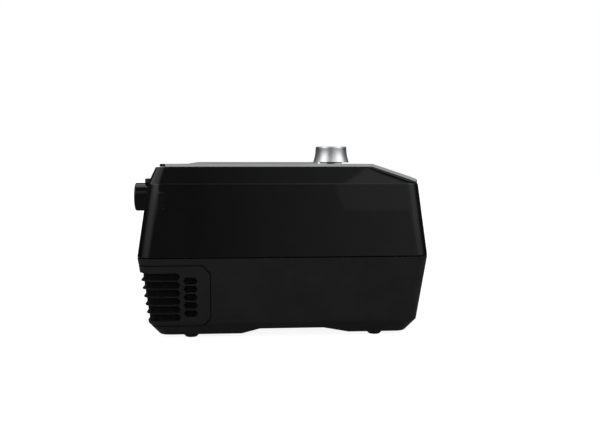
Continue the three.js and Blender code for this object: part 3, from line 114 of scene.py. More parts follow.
class Graph:
    """Wires the shader nodes of one material or world."""

    def __init__(self, tree: bpy.types.NodeTree) -> None:
        """Empties a node tree and keeps it."""
        self.tree = tree
        self.tree.nodes.clear()

    def node(self, kind: str, inputs: dict | None = None, **settings: object) -> bpy.types.Node:
        """Adds a node.

        Args:
            kind: Blender's identifier of the node's type.
            inputs: Values or output sockets by input name or number.
            settings: Properties of the node itself.

        Returns:
            The new node.
        """
        made = self.tree.nodes.new(kind)
        for name, value in settings.items():
            setattr(made, name, value)
        for name, value in (inputs or {}).items():
            if isinstance(value, Socket):
                self.tree.links.new(value, made.inputs[name])
            else:
                made.inputs[name].default_value = value
        return made

    def math(self, operation: str, *terms: Value) -> Socket:
        """Adds a math node and returns its result socket."""
        return self.node("ShaderNodeMath", dict(enumerate(terms)), operation=operation).outputs[0]

    def place(self) -> Socket:
        """Returns the place on the piece in metres, which rides with the piece."""
        return self.node("ShaderNodeTexCoord").outputs["Object"]

    def noise(self, size: float, detail: float = 2.0, where: Socket | None = None) -> Socket:
        """Adds a noise whose features have a real size.

        Args:
            size: The size of one feature in metres.
            detail: How many finer octaves it has.
            where: The place that it is read at, or None for the place on the piece.

        Returns:
            The socket of the noise's value.
        """
        inputs = {"Vector": where or self.place(), "Scale": 1 / size, "Detail": detail}
        return self.node("ShaderNodeTexNoise", inputs).outputs["Fac"]

    def spread(self, value: Socket, levels: Span) -> Socket:
        """Maps a noise's range to a range of its own.

        Args:
            value: The noise.
            levels: The results at the noise's low and high ends.

        Returns:
            The socket of the mapped value.
        """
        return self.ramp(value, NOISE_SPAN, levels, smooth=False)

    def bump(self, height: Socket, depth: float) -> Socket:
        """Adds a bump of a real depth.

        Args:
            height: The height from zero to one.
            depth: The depth in metres that one stands for.

        Returns:
            The socket of the bumped normal.
        """
        inputs = {"Height": height, "Distance": depth, "Strength": 1.0}
        return self.node("ShaderNodeBump", inputs).outputs["Normal"]

    def ramp(self, value: Socket, span: Span, levels: Span, smooth: bool = True) -> Socket:
        """Maps a value's span to a pair of levels, and holds them beyond it.

        Args:
            value: The value.
            span: Where the first and the second level are reached.
            levels: The two levels.
            smooth: Whether the ramp eases in and out.

        Returns:
            The socket of the level.
        """
        inputs = {"Value": value, "From Min": span[0], "From Max": span[1]}
        inputs |= {"To Min": levels[0], "To Max": levels[1]}
        kind = "SMOOTHSTEP" if smooth else "LINEAR"
        return self.node("ShaderNodeMapRange", inputs, interpolation_type=kind).outputs["Result"]

    def blend(self, share: Socket, first: Value, second: Value) -> Socket:
        """Mixes two values, the second by a share."""
        inputs = {"Factor": share, "A": first, "B": second}
        return self.node("ShaderNodeMix", inputs).outputs["Result"]

    def tint(self, colour: Colour, amount: float, size: float) -> Socket:
        """Varies a colour's lightness a little over a surface.

        Args:
            colour: The middle colour.
            amount: How far it strays each way, as a share of itself.
            size: The size in metres of one patch.

        Returns:
            The socket of the varied colour.
        """
        return self.shade(colour, self.spread(self.noise(size, 3.0), (1 - amount, 1 + amount)))

    def shade(self, colour: Colour, share: Socket) -> Socket:
        """Multiplies a colour's lightness by a share."""
        inputs = {"Value": share, "Color": (*colour, 1.0)}
        return self.node("ShaderNodeHueSaturation", inputs).outputs["Color"]

    def surface(self, shader: Socket) -> None:
        """Sends a shader to the output."""
        self.node("ShaderNodeOutputMaterial", {"Surface": shader})

    def principled(self, inputs: dict) -> None:
        """Sends a principled shader with these inputs to the output."""
        self.surface(self.node("ShaderNodeBsdfPrincipled", inputs).outputs["BSDF"])


@dataclass(frozen=True)
class Finish:
    """A finish: a colour and a way to build its material."""

    name: str
    colour: Colour
    roughness: float

    def material(self) -> bpy.types.Material:
        """Returns the finish's material, which is built the first time that it is asked for."""
        known = bpy.data.materials.get(self.name)
        if known is not None:
            return known
        made = bpy.data.materials.new(self.name)
        made.use_nodes = True
        made.diffuse_color = (*self.colour, 1.0)
        self.wire(Graph(made.node_tree))
        return made

    def wire(self, graph: Graph) -> None:
        """Fills the material's node tree."""
        raise NotImplementedError


@dataclass(frozen=True)
class Moulding(Finish):
    """An opaque injection moulding, polished, satin or spark-eroded."""

    grain: Grain = Grain.SATIN
    specular: float = 0.5
    coat: float = 0.0
    stray: float = 0.12
    coat_roughness: float = 0.03
    patch: float = 14 * MM
    handled_patch: float = 35 * MM
    handled_span: Span = (0.9, 1.12)
    speckle: float = 1.2 * MM
    speckle_span: Span = (0.97, 1.03)

    def wire(self, graph: Graph) -> None:
        """Wires colour, gloss that varies with handling, and the mould's grain."""
        size, depth = self.grain.value
        handled = graph.spread(graph.noise(self.handled_patch, 3.0), self.handled_span)
        fine = graph.spread(graph.noise(self.speckle, 2.0), self.speckle_span)
        rough = graph.math("MULTIPLY", graph.math("MULTIPLY", handled, fine), self.roughness)
        normal = graph.bump(graph.noise(size, 2.0), depth)
        graph.principled(
            {
                "Base Color": graph.tint(self.colour, self.stray, self.patch),
                "Roughness": rough,
                "Specular IOR Level": self.specular,
                "Coat Weight": self.coat,
                "Coat Roughness": self.coat_roughness,
                "Normal": normal,
            }
        )


@dataclass(frozen=True)
class Metal(Finish):
    """A bare metal with the fine lines that its making leaves."""

    line: float = 0.3 * MM
    along: Corner = (1.0, 1.0, 0.02)
    depth: float = 0.002 * MM
    gloss_span: Span = (0.85, 1.2)
    stray: float = 0.04
    patch: float = 4 * MM

    def wire(self, graph: Graph) -> None:
        """Wires colour, line-broken gloss and a bump of fine lines."""
        inputs = {"Vector": graph.place(), "Scale": self.along}
        stretched = graph.node("ShaderNodeMapping", inputs).outputs["Vector"]
        lines = graph.noise(self.line, 3.0, stretched)
        rough = graph.math("MULTIPLY", graph.spread(lines, self.gloss_span), self.roughness)
        graph.principled(
            {
                "Base Color": graph.tint(self.colour, self.stray, self.patch),
                "Metallic": 1.0,
                "Roughness": rough,
                "Normal": graph.bump(lines, self.depth),
            }
        )


@dataclass(frozen=True)
class Rubber(Finish):
    """A soft moulding with a dry, dusty bloom."""

    bloom: float = 3 * MM
    stray: float = 0.25
    pit: float = 0.3 * MM
    pit_depth: float = 0.02 * MM
    gloss_span: Span = (0.92, 1.08)
    specular: float = 0.3

    def wire(self, graph: Graph) -> None:
        """Wires a mottled colour and a fine pitted bump."""
        pits = graph.noise(self.pit, 4.0)
        rough = graph.math("MULTIPLY", graph.spread(pits, self.gloss_span), self.roughness)
        graph.principled(
            {
                "Base Color": graph.tint(self.colour, self.stray, self.bloom),
                "Roughness": rough,
                "Specular IOR Level": self.specular,
                "Normal": graph.bump(pits, self.pit_depth),
            }
        )


@dataclass(frozen=True)
class ClearPlastic(Finish):
    """A tinted clear moulding with faint flow waves."""

    wave: float = 12 * MM
    wave_depth: float = 0.01 * MM
    gloss_span: Span = (0.8, 1.3)
    patch: float = 20 * MM
    stray: float = 0.05
    refraction: float = 1.49
    clearness: float = 0.92

    def wire(self, graph: Graph) -> None:
        """Wires a tinted, slightly wavy clear body."""
        waves = graph.noise(self.wave, 1.0)
        rough = graph.math("MULTIPLY", graph.spread(waves, self.gloss_span), self.roughness)
        graph.principled(
            {
                "Base Color": graph.tint(self.colour, self.stray, self.patch),
                "Roughness": rough,
                "IOR": self.refraction,
                "Transmission Weight": self.clearness,
                "Normal": graph.bump(waves, self.wave_depth),
            }
        )


@dataclass(frozen=True)
class Foam(Finish):
    """An open-celled foam or filter mat."""

    cell: float = 0.9 * MM
    pit: float = 0.35 * MM
    strut_share: float = 0.25
    painted_hollow_shade: float = 0.25
    patch: float = 2 * MM
    rough_stray: float = 0.05
    specular: float = 0.1

    def wire(self, graph: Graph) -> None:
        """Wires cells darkened by painted shade between lighter struts."""
        inputs = {"Vector": graph.place(), "Scale": 1 / self.cell}
        cells = graph.node("ShaderNodeTexVoronoi", inputs, feature="DISTANCE_TO_EDGE")
        depth = cells.outputs["Distance"]
        # Painted shade: the colour darkens towards the middle of each cell, where the foam is
        # hollow.
        strut = graph.ramp(depth, (0, self.strut_share), (1, self.painted_hollow_shade), smooth=False)
        levels = (self.roughness - self.rough_stray, self.roughness)
        rough = graph.spread(graph.noise(self.patch), levels)
        graph.principled(
            {
                "Base Color": graph.shade(self.colour, strut),
                "Roughness": rough,
                "Specular IOR Level": self.specular,
                "Normal": graph.bump(strut, self.pit),
            }
        )


@dataclass(frozen=True)
class Circuit(Finish):
    """A lacquered circuit board with copper tracks under the lacquer."""

    bundle: float = 6.4 * MM
    tracks: float = 5.0
    gap_share: float = 0.55
    shades: Span = (0.75, 1.35)
    track_height: float = 0.03 * MM
    patch: float = 3 * MM
    rough_stray: float = 0.06

    def wire(self, graph: Graph) -> None:
        """Wires straight-edged tracks a little lighter than the board."""
        inputs = {"Vector": graph.place(), "Scale": 1 / self.bundle, "Randomness": 1.0}
        grid = graph.node("ShaderNodeTexVoronoi", inputs, distance="CHEBYCHEV", feature="F1")
        across = graph.math("MULTIPLY", grid.outputs["Distance"], self.tracks)
        track = graph.math("GREATER_THAN", graph.math("FRACT", across), self.gap_share)
        share = graph.ramp(track, (0, 1), self.shades, smooth=False)
        levels = (self.roughness - self.rough_stray, self.roughness + self.rough_stray)
        graph.principled(
            {
                "Base Color": graph.shade(self.colour, share),
                "Roughness": graph.spread(graph.noise(self.patch), levels),
                "Normal": graph.bump(track, self.track_height),
            }
        )


@dataclass(frozen=True)
class FloorPaint(Finish):
    """The floor's paint: diffuse, white where it is seen, and dim where it is mirrored, with a
    painted shadow under and beyond the machine.
    """

    glow: float = 0.9
    patch: float = 0.2
    stray: float = 0.01
    mirrored_glow: float = 0.16
    mirrored_shadow_level: float = 0.016
    mirrored_shadow_span: Span = (0.15, -0.1)

    def wire(self, graph: Graph) -> None:
        """Wires the diffuse paint with its glow, and a dim level where it is mirrored, darker under
        and beyond the machine as a painted shadow.
        """
        colour = graph.tint(self.colour, self.stray, self.patch)
        inputs = {"Color": colour, "Roughness": self.roughness}
        diffuse = graph.node("ShaderNodeBsdfDiffuse", inputs)
        path = graph.node("ShaderNodeLightPath").outputs
        straight = graph.math("MAXIMUM", path["Is Camera Ray"], path["Is Transmission Ray"])
        x = graph.node("ShaderNodeSeparateXYZ", {"Vector": graph.place()}).outputs["X"]
        strength = graph.math("MULTIPLY", straight, self.glow)
        light = graph.node("ShaderNodeEmission", {"Color": WHITE, "Strength": strength})
        seen = graph.node("ShaderNodeAddShader", {0: diffuse.outputs[0], 1: light.outputs[0]})
        # Painted shadow: where it is mirrored, the floor's level falls tenfold under and beyond the
        # machine.
        strength = graph.ramp(x, self.mirrored_shadow_span, (self.mirrored_shadow_level, self.mirrored_glow))
        mirrored = graph.node("ShaderNodeEmission", {"Color": WHITE, "Strength": strength})
        inputs = {0: path["Is Glossy Ray"], 1: seen.outputs[0], 2: mirrored.outputs[0]}
        graph.surface(graph.node("ShaderNodeMixShader", inputs).outputs[0])


# Each finish starts with its name, colour and roughness.
GLOSS_BLACK = Moulding("gloss_black", (0.0042, 0.0042, 0.0046), 0.03, Grain.POLISHED, 0.3)
PIANO_BLACK = Moulding("piano_black", (0.0035, 0.0035, 0.004), 0.06, Grain.POLISHED, 0.5, coat=0.3)
SPARK_BLACK = Moulding("spark_black", (0.0205, 0.0205, 0.021), 0.4, Grain.SPARK, 0.15)
SATIN_BLACK = Moulding("satin_black", (0.006, 0.006, 0.0065), 0.34, Grain.SATIN, 0.24)
MATT_BLACK = Moulding("matt_black", (0.008, 0.008, 0.0085), 0.6, Grain.SPARK, 0.25)
KEY_BLACK = Moulding("key_black", (0.009, 0.009, 0.0095), 0.4, Grain.SATIN, 0.4)
WINDOW_BLACK = Moulding(
    "window_black", (0.002, 0.002, 0.0026), 0.03, Grain.POLISHED, 0.5, coat=0.6, stray=0.02
)
SCREEN_GREY = Moulding("screen_grey", (0.02, 0.022, 0.026), 0.25, Grain.SATIN, 0.5)
NATURAL_WHITE = Moulding("natural_white", (0.68, 0.68, 0.65), 0.45, Grain.SATIN, 0.45, stray=0.03)
PRINT_WHITE = Moulding("print_white", (0.6, 0.61, 0.62), 0.5, Grain.SATIN, 0.3, stray=0.03)
# Painted reflection: this light grey stands for the highlight on the rounded side edges of the
# cover plate and the tank lid.
EDGE_REFLECTION_GREY = Moulding("trim_silver", (0.64, 0.645, 0.65), 0.32, Grain.SATIN, 0.5, stray=0.04)
BLACK_RUBBER = Rubber("black_rubber", (0.012, 0.012, 0.0125), 0.75)
# Grey rubber of the gaskets and the lid seal; on the strips under the cover's edge the same grey is
# a painted reflection.
GREY_RUBBER_AND_EDGE_REFLECTION = Rubber("grey_rubber", (0.05, 0.052, 0.055), 0.7)
KNOB_METAL = Metal(
    "knob_metal", (0.78, 0.785, 0.79), 0.24, 0.25 * MM, along=(0.05, 0.05, 1.0), depth=0.001 * MM
)
PLAIN_STEEL = Metal("plain_steel", (0.45, 0.46, 0.47), 0.3)
BARE_ALUMINIUM = Metal("bare_aluminium", (0.6, 0.61, 0.62), 0.38, 0.4 * MM, along=(1.0, 0.04, 1.0))
SMOKE_PLASTIC = ClearPlastic("smoke_plastic", (0.5, 0.53, 0.56), 0.06)
ACOUSTIC_FOAM = Foam("acoustic_foam", (0.05, 0.051, 0.055), 0.95, 1.4 * MM)
# The filter mat is near-black: the darkness is partly its own and partly painted shade of the slots
# behind the filter door.
FILTER_MAT = Foam("filter_mat", (0.012, 0.0122, 0.0128), 0.95, 0.6 * MM, 0.2 * MM)
GREEN_BOARD = Circuit("green_board", (0.012, 0.11, 0.04), 0.35)


def geometry_group(name: str) -> tuple[bpy.types.NodeTree, Callable, Socket]:
    """Starts a geometry node group.

    Args:
        name: The group's name.

    Returns:
        The group, a function that adds a node to it as Graph does, and the socket of the mesh that
        comes in.
    """
    group = bpy.data.node_groups.new(name, "GeometryNodeTree")
    group.interface.new_socket("Geometry", in_out="INPUT", socket_type="NodeSocketGeometry")
    group.interface.new_socket("Geometry", in_out="OUTPUT", socket_type="NodeSocketGeometry")
    graph = Graph(group)
    return group, graph.node, graph.node("NodeGroupInput").outputs["Geometry"]


def smoothing_group() -> bpy.types.NodeTree:
    """Gives the geometry nodes that shade a mesh smooth and keep its sharp edges.

    Returns:
        The node group, built once.
    """
    name = "smooth_edges"
    if name in bpy.data.node_groups:
        return bpy.data.node_groups[name]
    group, node, mesh = geometry_group(name)
    faces = node("GeometryNodeSetShadeSmooth", {"Geometry": mesh}).outputs["Geometry"]
    bend = node("GeometryNodeInputMeshEdgeAngle").outputs["Unsigned Angle"]
    flat = node("FunctionNodeCompare", {"A": bend, "B": SHARP_ANGLE}, operation="LESS_THAN")
    inputs = {"Geometry": faces, "Shade Smooth": flat.outputs["Result"]}
    edges = node("GeometryNodeSetShadeSmooth", inputs, domain="EDGE")
    node("NodeGroupOutput", {"Geometry": edges.outputs["Geometry"]})
    return group


def roomy_group(style: EdgeStyle) -> bpy.types.NodeTree:
    """Gives the geometry nodes that mark the edges which a style has room to round.

    Args:
        style: How far the edges are rounded.

    Returns:
        The node group, built once: an edge is marked where it bends enough and every edge at its
        ends is long enough.
    """
    name = "room_for_" + style.name.lower()
    if name in bpy.data.node_groups:
        return bpy.data.node_groups[name]
    group, node, mesh = geometry_group(name)
    ends = node("GeometryNodeInputMeshEdgeVertices").outputs
    inputs = {0: ends["Position 1"], 1: ends["Position 2"]}
    length = node("ShaderNodeVectorMath", inputs, operation="DISTANCE").outputs["Value"]
    least = {}
    for number, end in enumerate(("Vertex Index 1", "Vertex Index 2")):
        found = node("GeometryNodeEdgesOfVertex", {"Vertex Index": ends[end], "Weights": length})
        inputs = {"Index": found.outputs["Edge Index"], "Value": length}
        least[number] = node("GeometryNodeFieldAtIndex", inputs, domain="EDGE").outputs["Value"]
    shortest = node("ShaderNodeMath", least, operation="MINIMUM").outputs["Value"]
    room = node("ShaderNodeMath", {0: shortest, 1: ROOM * style.value}, operation="GREATER_THAN")
    bend = node("GeometryNodeInputMeshEdgeAngle").outputs["Unsigned Angle"]
    bent = node("ShaderNodeMath", {0: bend, 1: BEVEL_ANGLE}, operation="GREATER_THAN")
    inputs = {0: room.outputs["Value"], 1: bent.outputs["Value"]}
    marked = node("ShaderNodeMath", inputs, operation="MULTIPLY").outputs["Value"]
    inputs = {"Geometry": mesh, "Name": "bevel_weight_edge", "Value": marked}
    stored = node("GeometryNodeStoreNamedAttribute", inputs, data_type="FLOAT", domain="EDGE")
    node("NodeGroupOutput", {"Geometry": stored.outputs["Geometry"]})
    return group


def round_edges(piece: bpy.types.Object, style: EdgeStyle, segments: int = 3) -> None:
    """Rounds a piece's edges with modifiers and gives it clean normals.

    Args:
        piece: The object.
        style: How far the edges are rounded.
        segments: How many steps a rounded edge has.
    """
    weld = piece.modifiers.new("weld", "WELD")
    weld.merge_threshold = WELD
    flat = piece.modifiers.new("flat_faces", "DECIMATE")
    flat.decimate_type = "DISSOLVE"
    flat.angle_limit = FLAT_ANGLE
    if style is not EdgeStyle.NONE:
        roomy = piece.modifiers.new("room", "NODES")
        roomy.node_group = roomy_group(style)
        bevel = piece.modifiers.new("edges", "BEVEL")
        bevel.width = style.value
        bevel.segments = segments
        bevel.limit_method = "WEIGHT"
        bevel.use_clamp_overlap = False
    smooth = piece.modifiers.new("smooth", "NODES")
    smooth.node_group = smoothing_group()
    weighted = piece.modifiers.new("weighted", "WEIGHTED_NORMAL")
    weighted.keep_sharp = True
    weighted.weight, weighted.thresh = LARGE_FACE_WEIGHT, ALIKE_AREA


def paint(piece: bpy.types.Object, finish: Finish) -> None:
    """Gives an object one finish in all its material slots."""
    piece.data.materials.clear()
    piece.data.materials.append(finish.material())


def dress(node: str, finish: Finish, style: EdgeStyle = EdgeStyle.FINE, segments: int = 2) -> None:
    """Finishes a carried-over node and rounds its edges.

    Args:
        node: The node's name.
        finish: Its finish.
        style: How far its edges are rounded.
        segments: How many steps a rounded edge has.
    """
    piece = frame["nodes"][node]
    paint(piece, finish)
    round_edges(piece, style, segments)
    log.info("%s: carried over as %s", node, finish.name)


def slot_of(node: str) -> str:
    """Returns the record's material slot of a node."""
    return next(s["material_slot"] for s in frame["record"]["subparts"] if s["node"] == node)


def body_of(node: str) -> str:
    """Returns the body that a node belongs to."""
    bodies = frame["record"]["behaviour"]["bodies"]
    return next(name for name, nodes in bodies.items() if node in nodes)


def mesh_object(name: str, form: bmesh.types.BMesh, finish: Finish) -> bpy.types.Object:
    """Makes an object from a bmesh.

    Args:
        name: The object's name.
        form: The mesh, which is freed.
        finish: Its finish.

    Returns:
        The new object, linked to the scene.
    """
    bmesh.ops.recalc_face_normals(form, faces=form.faces)
    data = bpy.data.meshes.new(name)
    form.to_mesh(data)
    form.free()
    made = bpy.data.objects.new(name, data)
    bpy.context.scene.collection.objects.link(made)
    paint(made, finish)
    return made


def smooth(piece: bpy.types.Object) -> None:
    """Shades a fine mesh smooth and keeps its sharp edges."""
    for face in piece.data.polygons:
        face.use_smooth = True
    piece.data.set_sharp_from_angle(angle=SHARP_ANGLE)


def stand_in(piece: bpy.types.Object, node: str) -> None:
    """Lets a finer piece stand for a node, on the node's body, and hides the node."""
    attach(piece, body_of(node))
    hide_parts(node)
    log.info("%s: finer piece for %s", piece.name, node)


def add_on(piece: bpy.types.Object, carrier: str, slot: str) -> None:
    """Lets a small extra piece ride with the node that carries it.

    Args:
        piece: The extra piece.
        carrier: The name of the node that carries it.
        slot: The record's material slot that it belongs to. Not used.
    """
    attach(piece, body_of(carrier))
    log.info("%s: rides with %s", piece.name, carrier)


def filleted(points: Sequence[Corner], steps: int = 5) -> list[Point]:
    """Rounds the corners of an outline.

    Args:
        points: The outline's corners, each with the radius that it is rounded by.
        steps: How many straight steps an arc has.

    Returns:
        The rounded outline.
    """
    made = []
    for i, (u, v, radius) in enumerate(points):
        here = Vector((u, v))
        if radius <= 0 or i in (0, len(points) - 1):
            made.append((u, v))
            continue
        before = (Vector(points[i - 1][:2]) - here).normalized()
        after = (Vector(points[i + 1][:2]) - here).normalized()
        half = before.angle(after) / 2
        reach = radius / math.tan(half)
        centre = here + (before + after).normalized() * (radius / math.sin(half))
        start = here + before * reach - centre
        end = here + after * reach - centre
        for step in range(steps + 1):
            share = step / steps
            arm = start.normalized().slerp(end.normalized(), share) * radius
            made.append(tuple(centre + arm))
    return made


def lathe(outline: Iterable[Point], placing: Matrix, sides: int) -> bmesh.types.BMesh:
    """Turns an outline about the Z axis and places it.

    Args:
        outline: Points of radius and height that start and end on the axis, or close on themselves.
        placing: Where the turned body goes.
        sides: How many sides it has.

    Returns:
        The closed mesh.
    """
    form = bmesh.new()
    points = list(outline)
    closed = points[0] == points[-1]
    if closed:
        points = points[:-1]
    rings = []
    for radius, height in points:
        if radius < ON_AXIS:
            rings.append([form.verts.new(placing @ Vector((0.0, 0.0, height)))])
            continue
        ring = []
        for side in range(sides):
            angle = 2 * math.pi * side / sides
            spot = Vector((radius * math.cos(angle), radius * math.sin(angle), height))
            ring.append(form.verts.new(placing @ spot))
        rings.append(ring)
    pairs = list(zip(rings, rings[1:]))
    if closed:
        pairs.append((rings[-1], rings[0]))
    for lower, upper in pairs:
        for side in range(sides):
            after = (side + 1) % sides
            corners = [lower[side % len(lower)], lower[after % len(lower)]]
            corners += [upper[after % len(upper)], upper[side % len(upper)]]
            distinct = list(dict.fromkeys(corners))
            if len(distinct) > 2:
                form.faces.new(distinct)
    return form


def upright_axis(node: str) -> Matrix:
    """Returns the placing whose Z axis runs upright through the middle of a node."""
    low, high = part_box(node)
    middle = (low + high) / 2
    return Matrix.Translation((middle.x, middle.y, 0.0))


def turned(
    name: str, node: str, outline: Sequence[Corner], placing: Matrix, sides: int, finish: Finish
) -> None:
    """Makes a fine turned piece that stands for a node.

    Args:
        name: The piece's name.
        node: The node that it stands for.
        outline: The corners of its outline, each with its rounding.
        placing: Where the turned body goes.
        sides: How many sides it has.
        finish: Its finish.
    """
    piece = mesh_object(name, lathe(filleted(outline), placing, sides), finish)
    smooth(piece)
    stand_in(piece, node)


def sideways(run: Sequence[Point]) -> list[Vector]:
    """Gives the mitred sideways vector at each point of a run; its length keeps the line's width.

    Args:
        run: The run of points, closed where the last is the first.

    Returns:
        One vector for each point.
    """
    points = [Vector(point) for point in run]
    ways = [(after - here).normalized() for here, after in zip(points, points[1:])]
    closed = run[0] == run[-1]
    before = [ways[-1] if closed else ways[0]] + ways
    after = ways + [ways[0] if closed else ways[-1]]
    made = []
    for first, second in zip(before, after):
        middle = (first + second).normalized()
        made.append(Vector((-middle.y, middle.x)) / max(middle.dot(first), MITRE_LIMIT))
    return made


def stitch(form: bmesh.types.BMesh, sections: list[list[bmesh.types.BMVert]], closed: bool) -> None:
    """Joins the sections of a bar with side faces, and caps it where it is open.

    Args:
        form: The mesh that holds the sections.
        sections: Rings of vertices, all with the same count.
        closed: Whether the last section joins the first.
    """
    count = len(sections[0])
    pairs = list(zip(sections, sections[1:]))
    if closed:
        pairs.append((sections[-1], sections[0]))
    else:
        form.faces.new(sections[0])
        form.faces.new(reversed(sections[-1]))
    for here, after in pairs:
        for i in range(count):
            form.faces.new([here[i], here[(i + 1) % count], after[(i + 1) % count], after[i]])


@dataclass
class EdgeReflectionBar:
    """A light grey bar on a plate's upright left and right faces: a painted reflection of its
    edges.

    A face counts where its normal is sideward enough and upright enough, and where it lies within
    reach of the plate's left or right end.
    """

    name: str
    carrier: str
    reach: float
    proud: float = 0.3 * MM
    upright: float = 0.3
    sideward: float = 0.9

    def build(self) -> None:
        """Lifts the plate's side faces off as a bar of their own."""
        low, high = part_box(self.carrier)
        form = bmesh.new()
        form.from_mesh(frame["nodes"][self.carrier].data)
        bmesh.ops.remove_doubles(form, verts=form.verts, dist=WELD)
        bmesh.ops.dissolve_limit(form, angle_limit=FLAT_ANGLE, verts=form.verts, edges=form.edges)
        loose = []
        for face in form.faces:
            middle = face.calc_center_median()
            inset = high.x - middle.x if face.normal.x > 0 else middle.x - low.x
            faces_side = abs(face.normal.x) > self.sideward and abs(face.normal.z) < self.upright
            if not faces_side or inset > self.reach:
                loose.append(face)
        bmesh.ops.delete(form, geom=loose, context="FACES")
        form.normal_update()
        outward = {vert: Vector(vert.normal) for vert in form.verts}
        whole = [*form.faces, *form.edges, *form.verts]
        twins = bmesh.ops.duplicate(form, geom=whole)["vert_map"]
        rims = [edge for edge in form.edges if edge.is_boundary and edge.verts[0] in outward]
        for vert, way in outward.items():
            twins[vert].co = vert.co + way * self.proud
        for edge in rims:
            first, second = edge.verts
            form.faces.new([first, second, twins[second], twins[first]])
        piece = mesh_object(self.name, form, EDGE_REFLECTION_GREY)
        round_edges(piece, EdgeStyle.HAIR, 2)
        add_on(piece, self.carrier, slot_of("control_knob"))


@dataclass(frozen=True)
class EdgePoint:
    """A point on the cover's left lower edge and the gap to the shoulder there, in millimetres."""

    x: float
    y: float
    z: float
    drop: float


@dataclass
class ShoulderReflectionStrip:
    """Thin grey strips under the cover's edge, down to the housing's rounded shoulders: a painted
    reflection, the dim lower end of the cover edge's highlight.
    """

    name: str = "cover_seal"
    carrier: str = "top_cover"
    proud: float = 0.15 * MM
    thickness: float = 0.5 * MM
    overlap: float = 0.3 * MM
    edge: tuple[EdgePoint, ...] = (
        EdgePoint(-120.3, -60.0, 112.5, drop=0.05),
        EdgePoint(-120.3, -64.0, 112.5, drop=0.35),
        EdgePoint(-120.3, -67.55, 112.5, drop=1.25),
        EdgePoint(-125.72, -90.55, 104.5, drop=1.55),
        EdgePoint(-125.15, -95.8, 102.68, drop=1.0),
        EdgePoint(-120.3, -97.55, 102.07, drop=0.25),
        EdgePoint(-116.0, -97.55, 102.07, drop=0.05),
    )

    def build(self) -> None:
        """Makes the left strip along the cover's edge, and its mirror image on the right."""
        inward = sideways([(point.x, point.y) for point in self.edge])
        for side, label in ((1, "left"), (-1, "right")):
            form = bmesh.new()
            sections = []
            for point, way in zip(self.edge, inward):
                edge = Vector((point.x, point.y, point.z)) * MM
                low = -point.drop * MM
                corners = (
                    (-self.proud, self.overlap),
                    (self.thickness, self.overlap),
                    (self.thickness, low),
                    (-self.proud, low),
                )
                ring = []
                for depth, height in corners:
                    spot = edge + Vector((way.x, way.y, 0.0)) * depth
                    ring.append(form.verts.new((side * spot.x, spot.y, spot.z + height)))
                sections.append(ring)
            stitch(form, sections, closed=False)
            # Painted reflection: the grey strip stands for the dim lower end of the cover edge's
            # highlight.
            piece = mesh_object(f"{self.name}_{label}", form, GREY_RUBBER_AND_EDGE_REFLECTION)
            round_edges(piece, EdgeStyle.NONE)
            add_on(piece, self.carrier, slot_of("outlet_gasket"))


@dataclass
class Housing:
    """The two housings, the glossy cover plate, the filter door and the feet."""

    foot_radius: float = 5.2 * MM
    foot_tip: float = 3.6 * MM
    foot_round: float = 1.1 * MM
    foot_gap: float = 0.3 * MM
    foot_cone_share: float = 0.75
    foot_sides: int = 48

    def build(self) -> None:
        """Finishes the mouldings and makes the feet."""
        dress("upper_housing", GLOSS_BLACK, EdgeStyle.SOFT, 3)
        dress("lower_housing", SPARK_BLACK, EdgeStyle.FINE, 2)
        dress("top_cover", PIANO_BLACK, EdgeStyle.FINE, 3)
        # Painted reflection: light grey bars on the cover's side faces stand for the highlight on
        # its rounded edges.
        EdgeReflectionBar("cover_trim", "top_cover", reach=6.0 * MM).build()
        # Painted reflection: grey strips under the cover's edge stand for the dim lower end of its
        # highlight.
        ShoulderReflectionStrip().build()
        dress("filter_cover", SPARK_BLACK, EdgeStyle.HAIR, 2)
        dress("filter_frame", SATIN_BLACK)
        dress("air_filter", FILTER_MAT, EdgeStyle.NONE)
        for place in ("front_left", "rear_left", "front_right", "rear_right"):
            self.foot("foot_" + place)
        for number in range(1, 5):
            dress(f"housing_screw_{number}", PLAIN_STEEL, EdgeStyle.HAIR)

    def foot(self, node: str) -> None:
        """Makes the domed rubber foot that stands for a node."""
        low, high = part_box(node)
        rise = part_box("lower_housing")[0].z - self.foot_gap
        outline = [
            (0.0, low.z, 0.0),
            (self.foot_tip, low.z, self.foot_round),
            (self.foot_radius, self.foot_cone_share * rise, self.foot_round / 2),
            (self.foot_radius, rise, 0.0),
            (self.foot_radius / 2, rise, 0.0),
            (self.foot_radius / 2, high.z, 0.0),
            (0.0, high.z, 0.0),
        ]
        placing = upright_axis(node)
        turned(node + "_dome", node, outline, placing, self.foot_sides, BLACK_RUBBER)


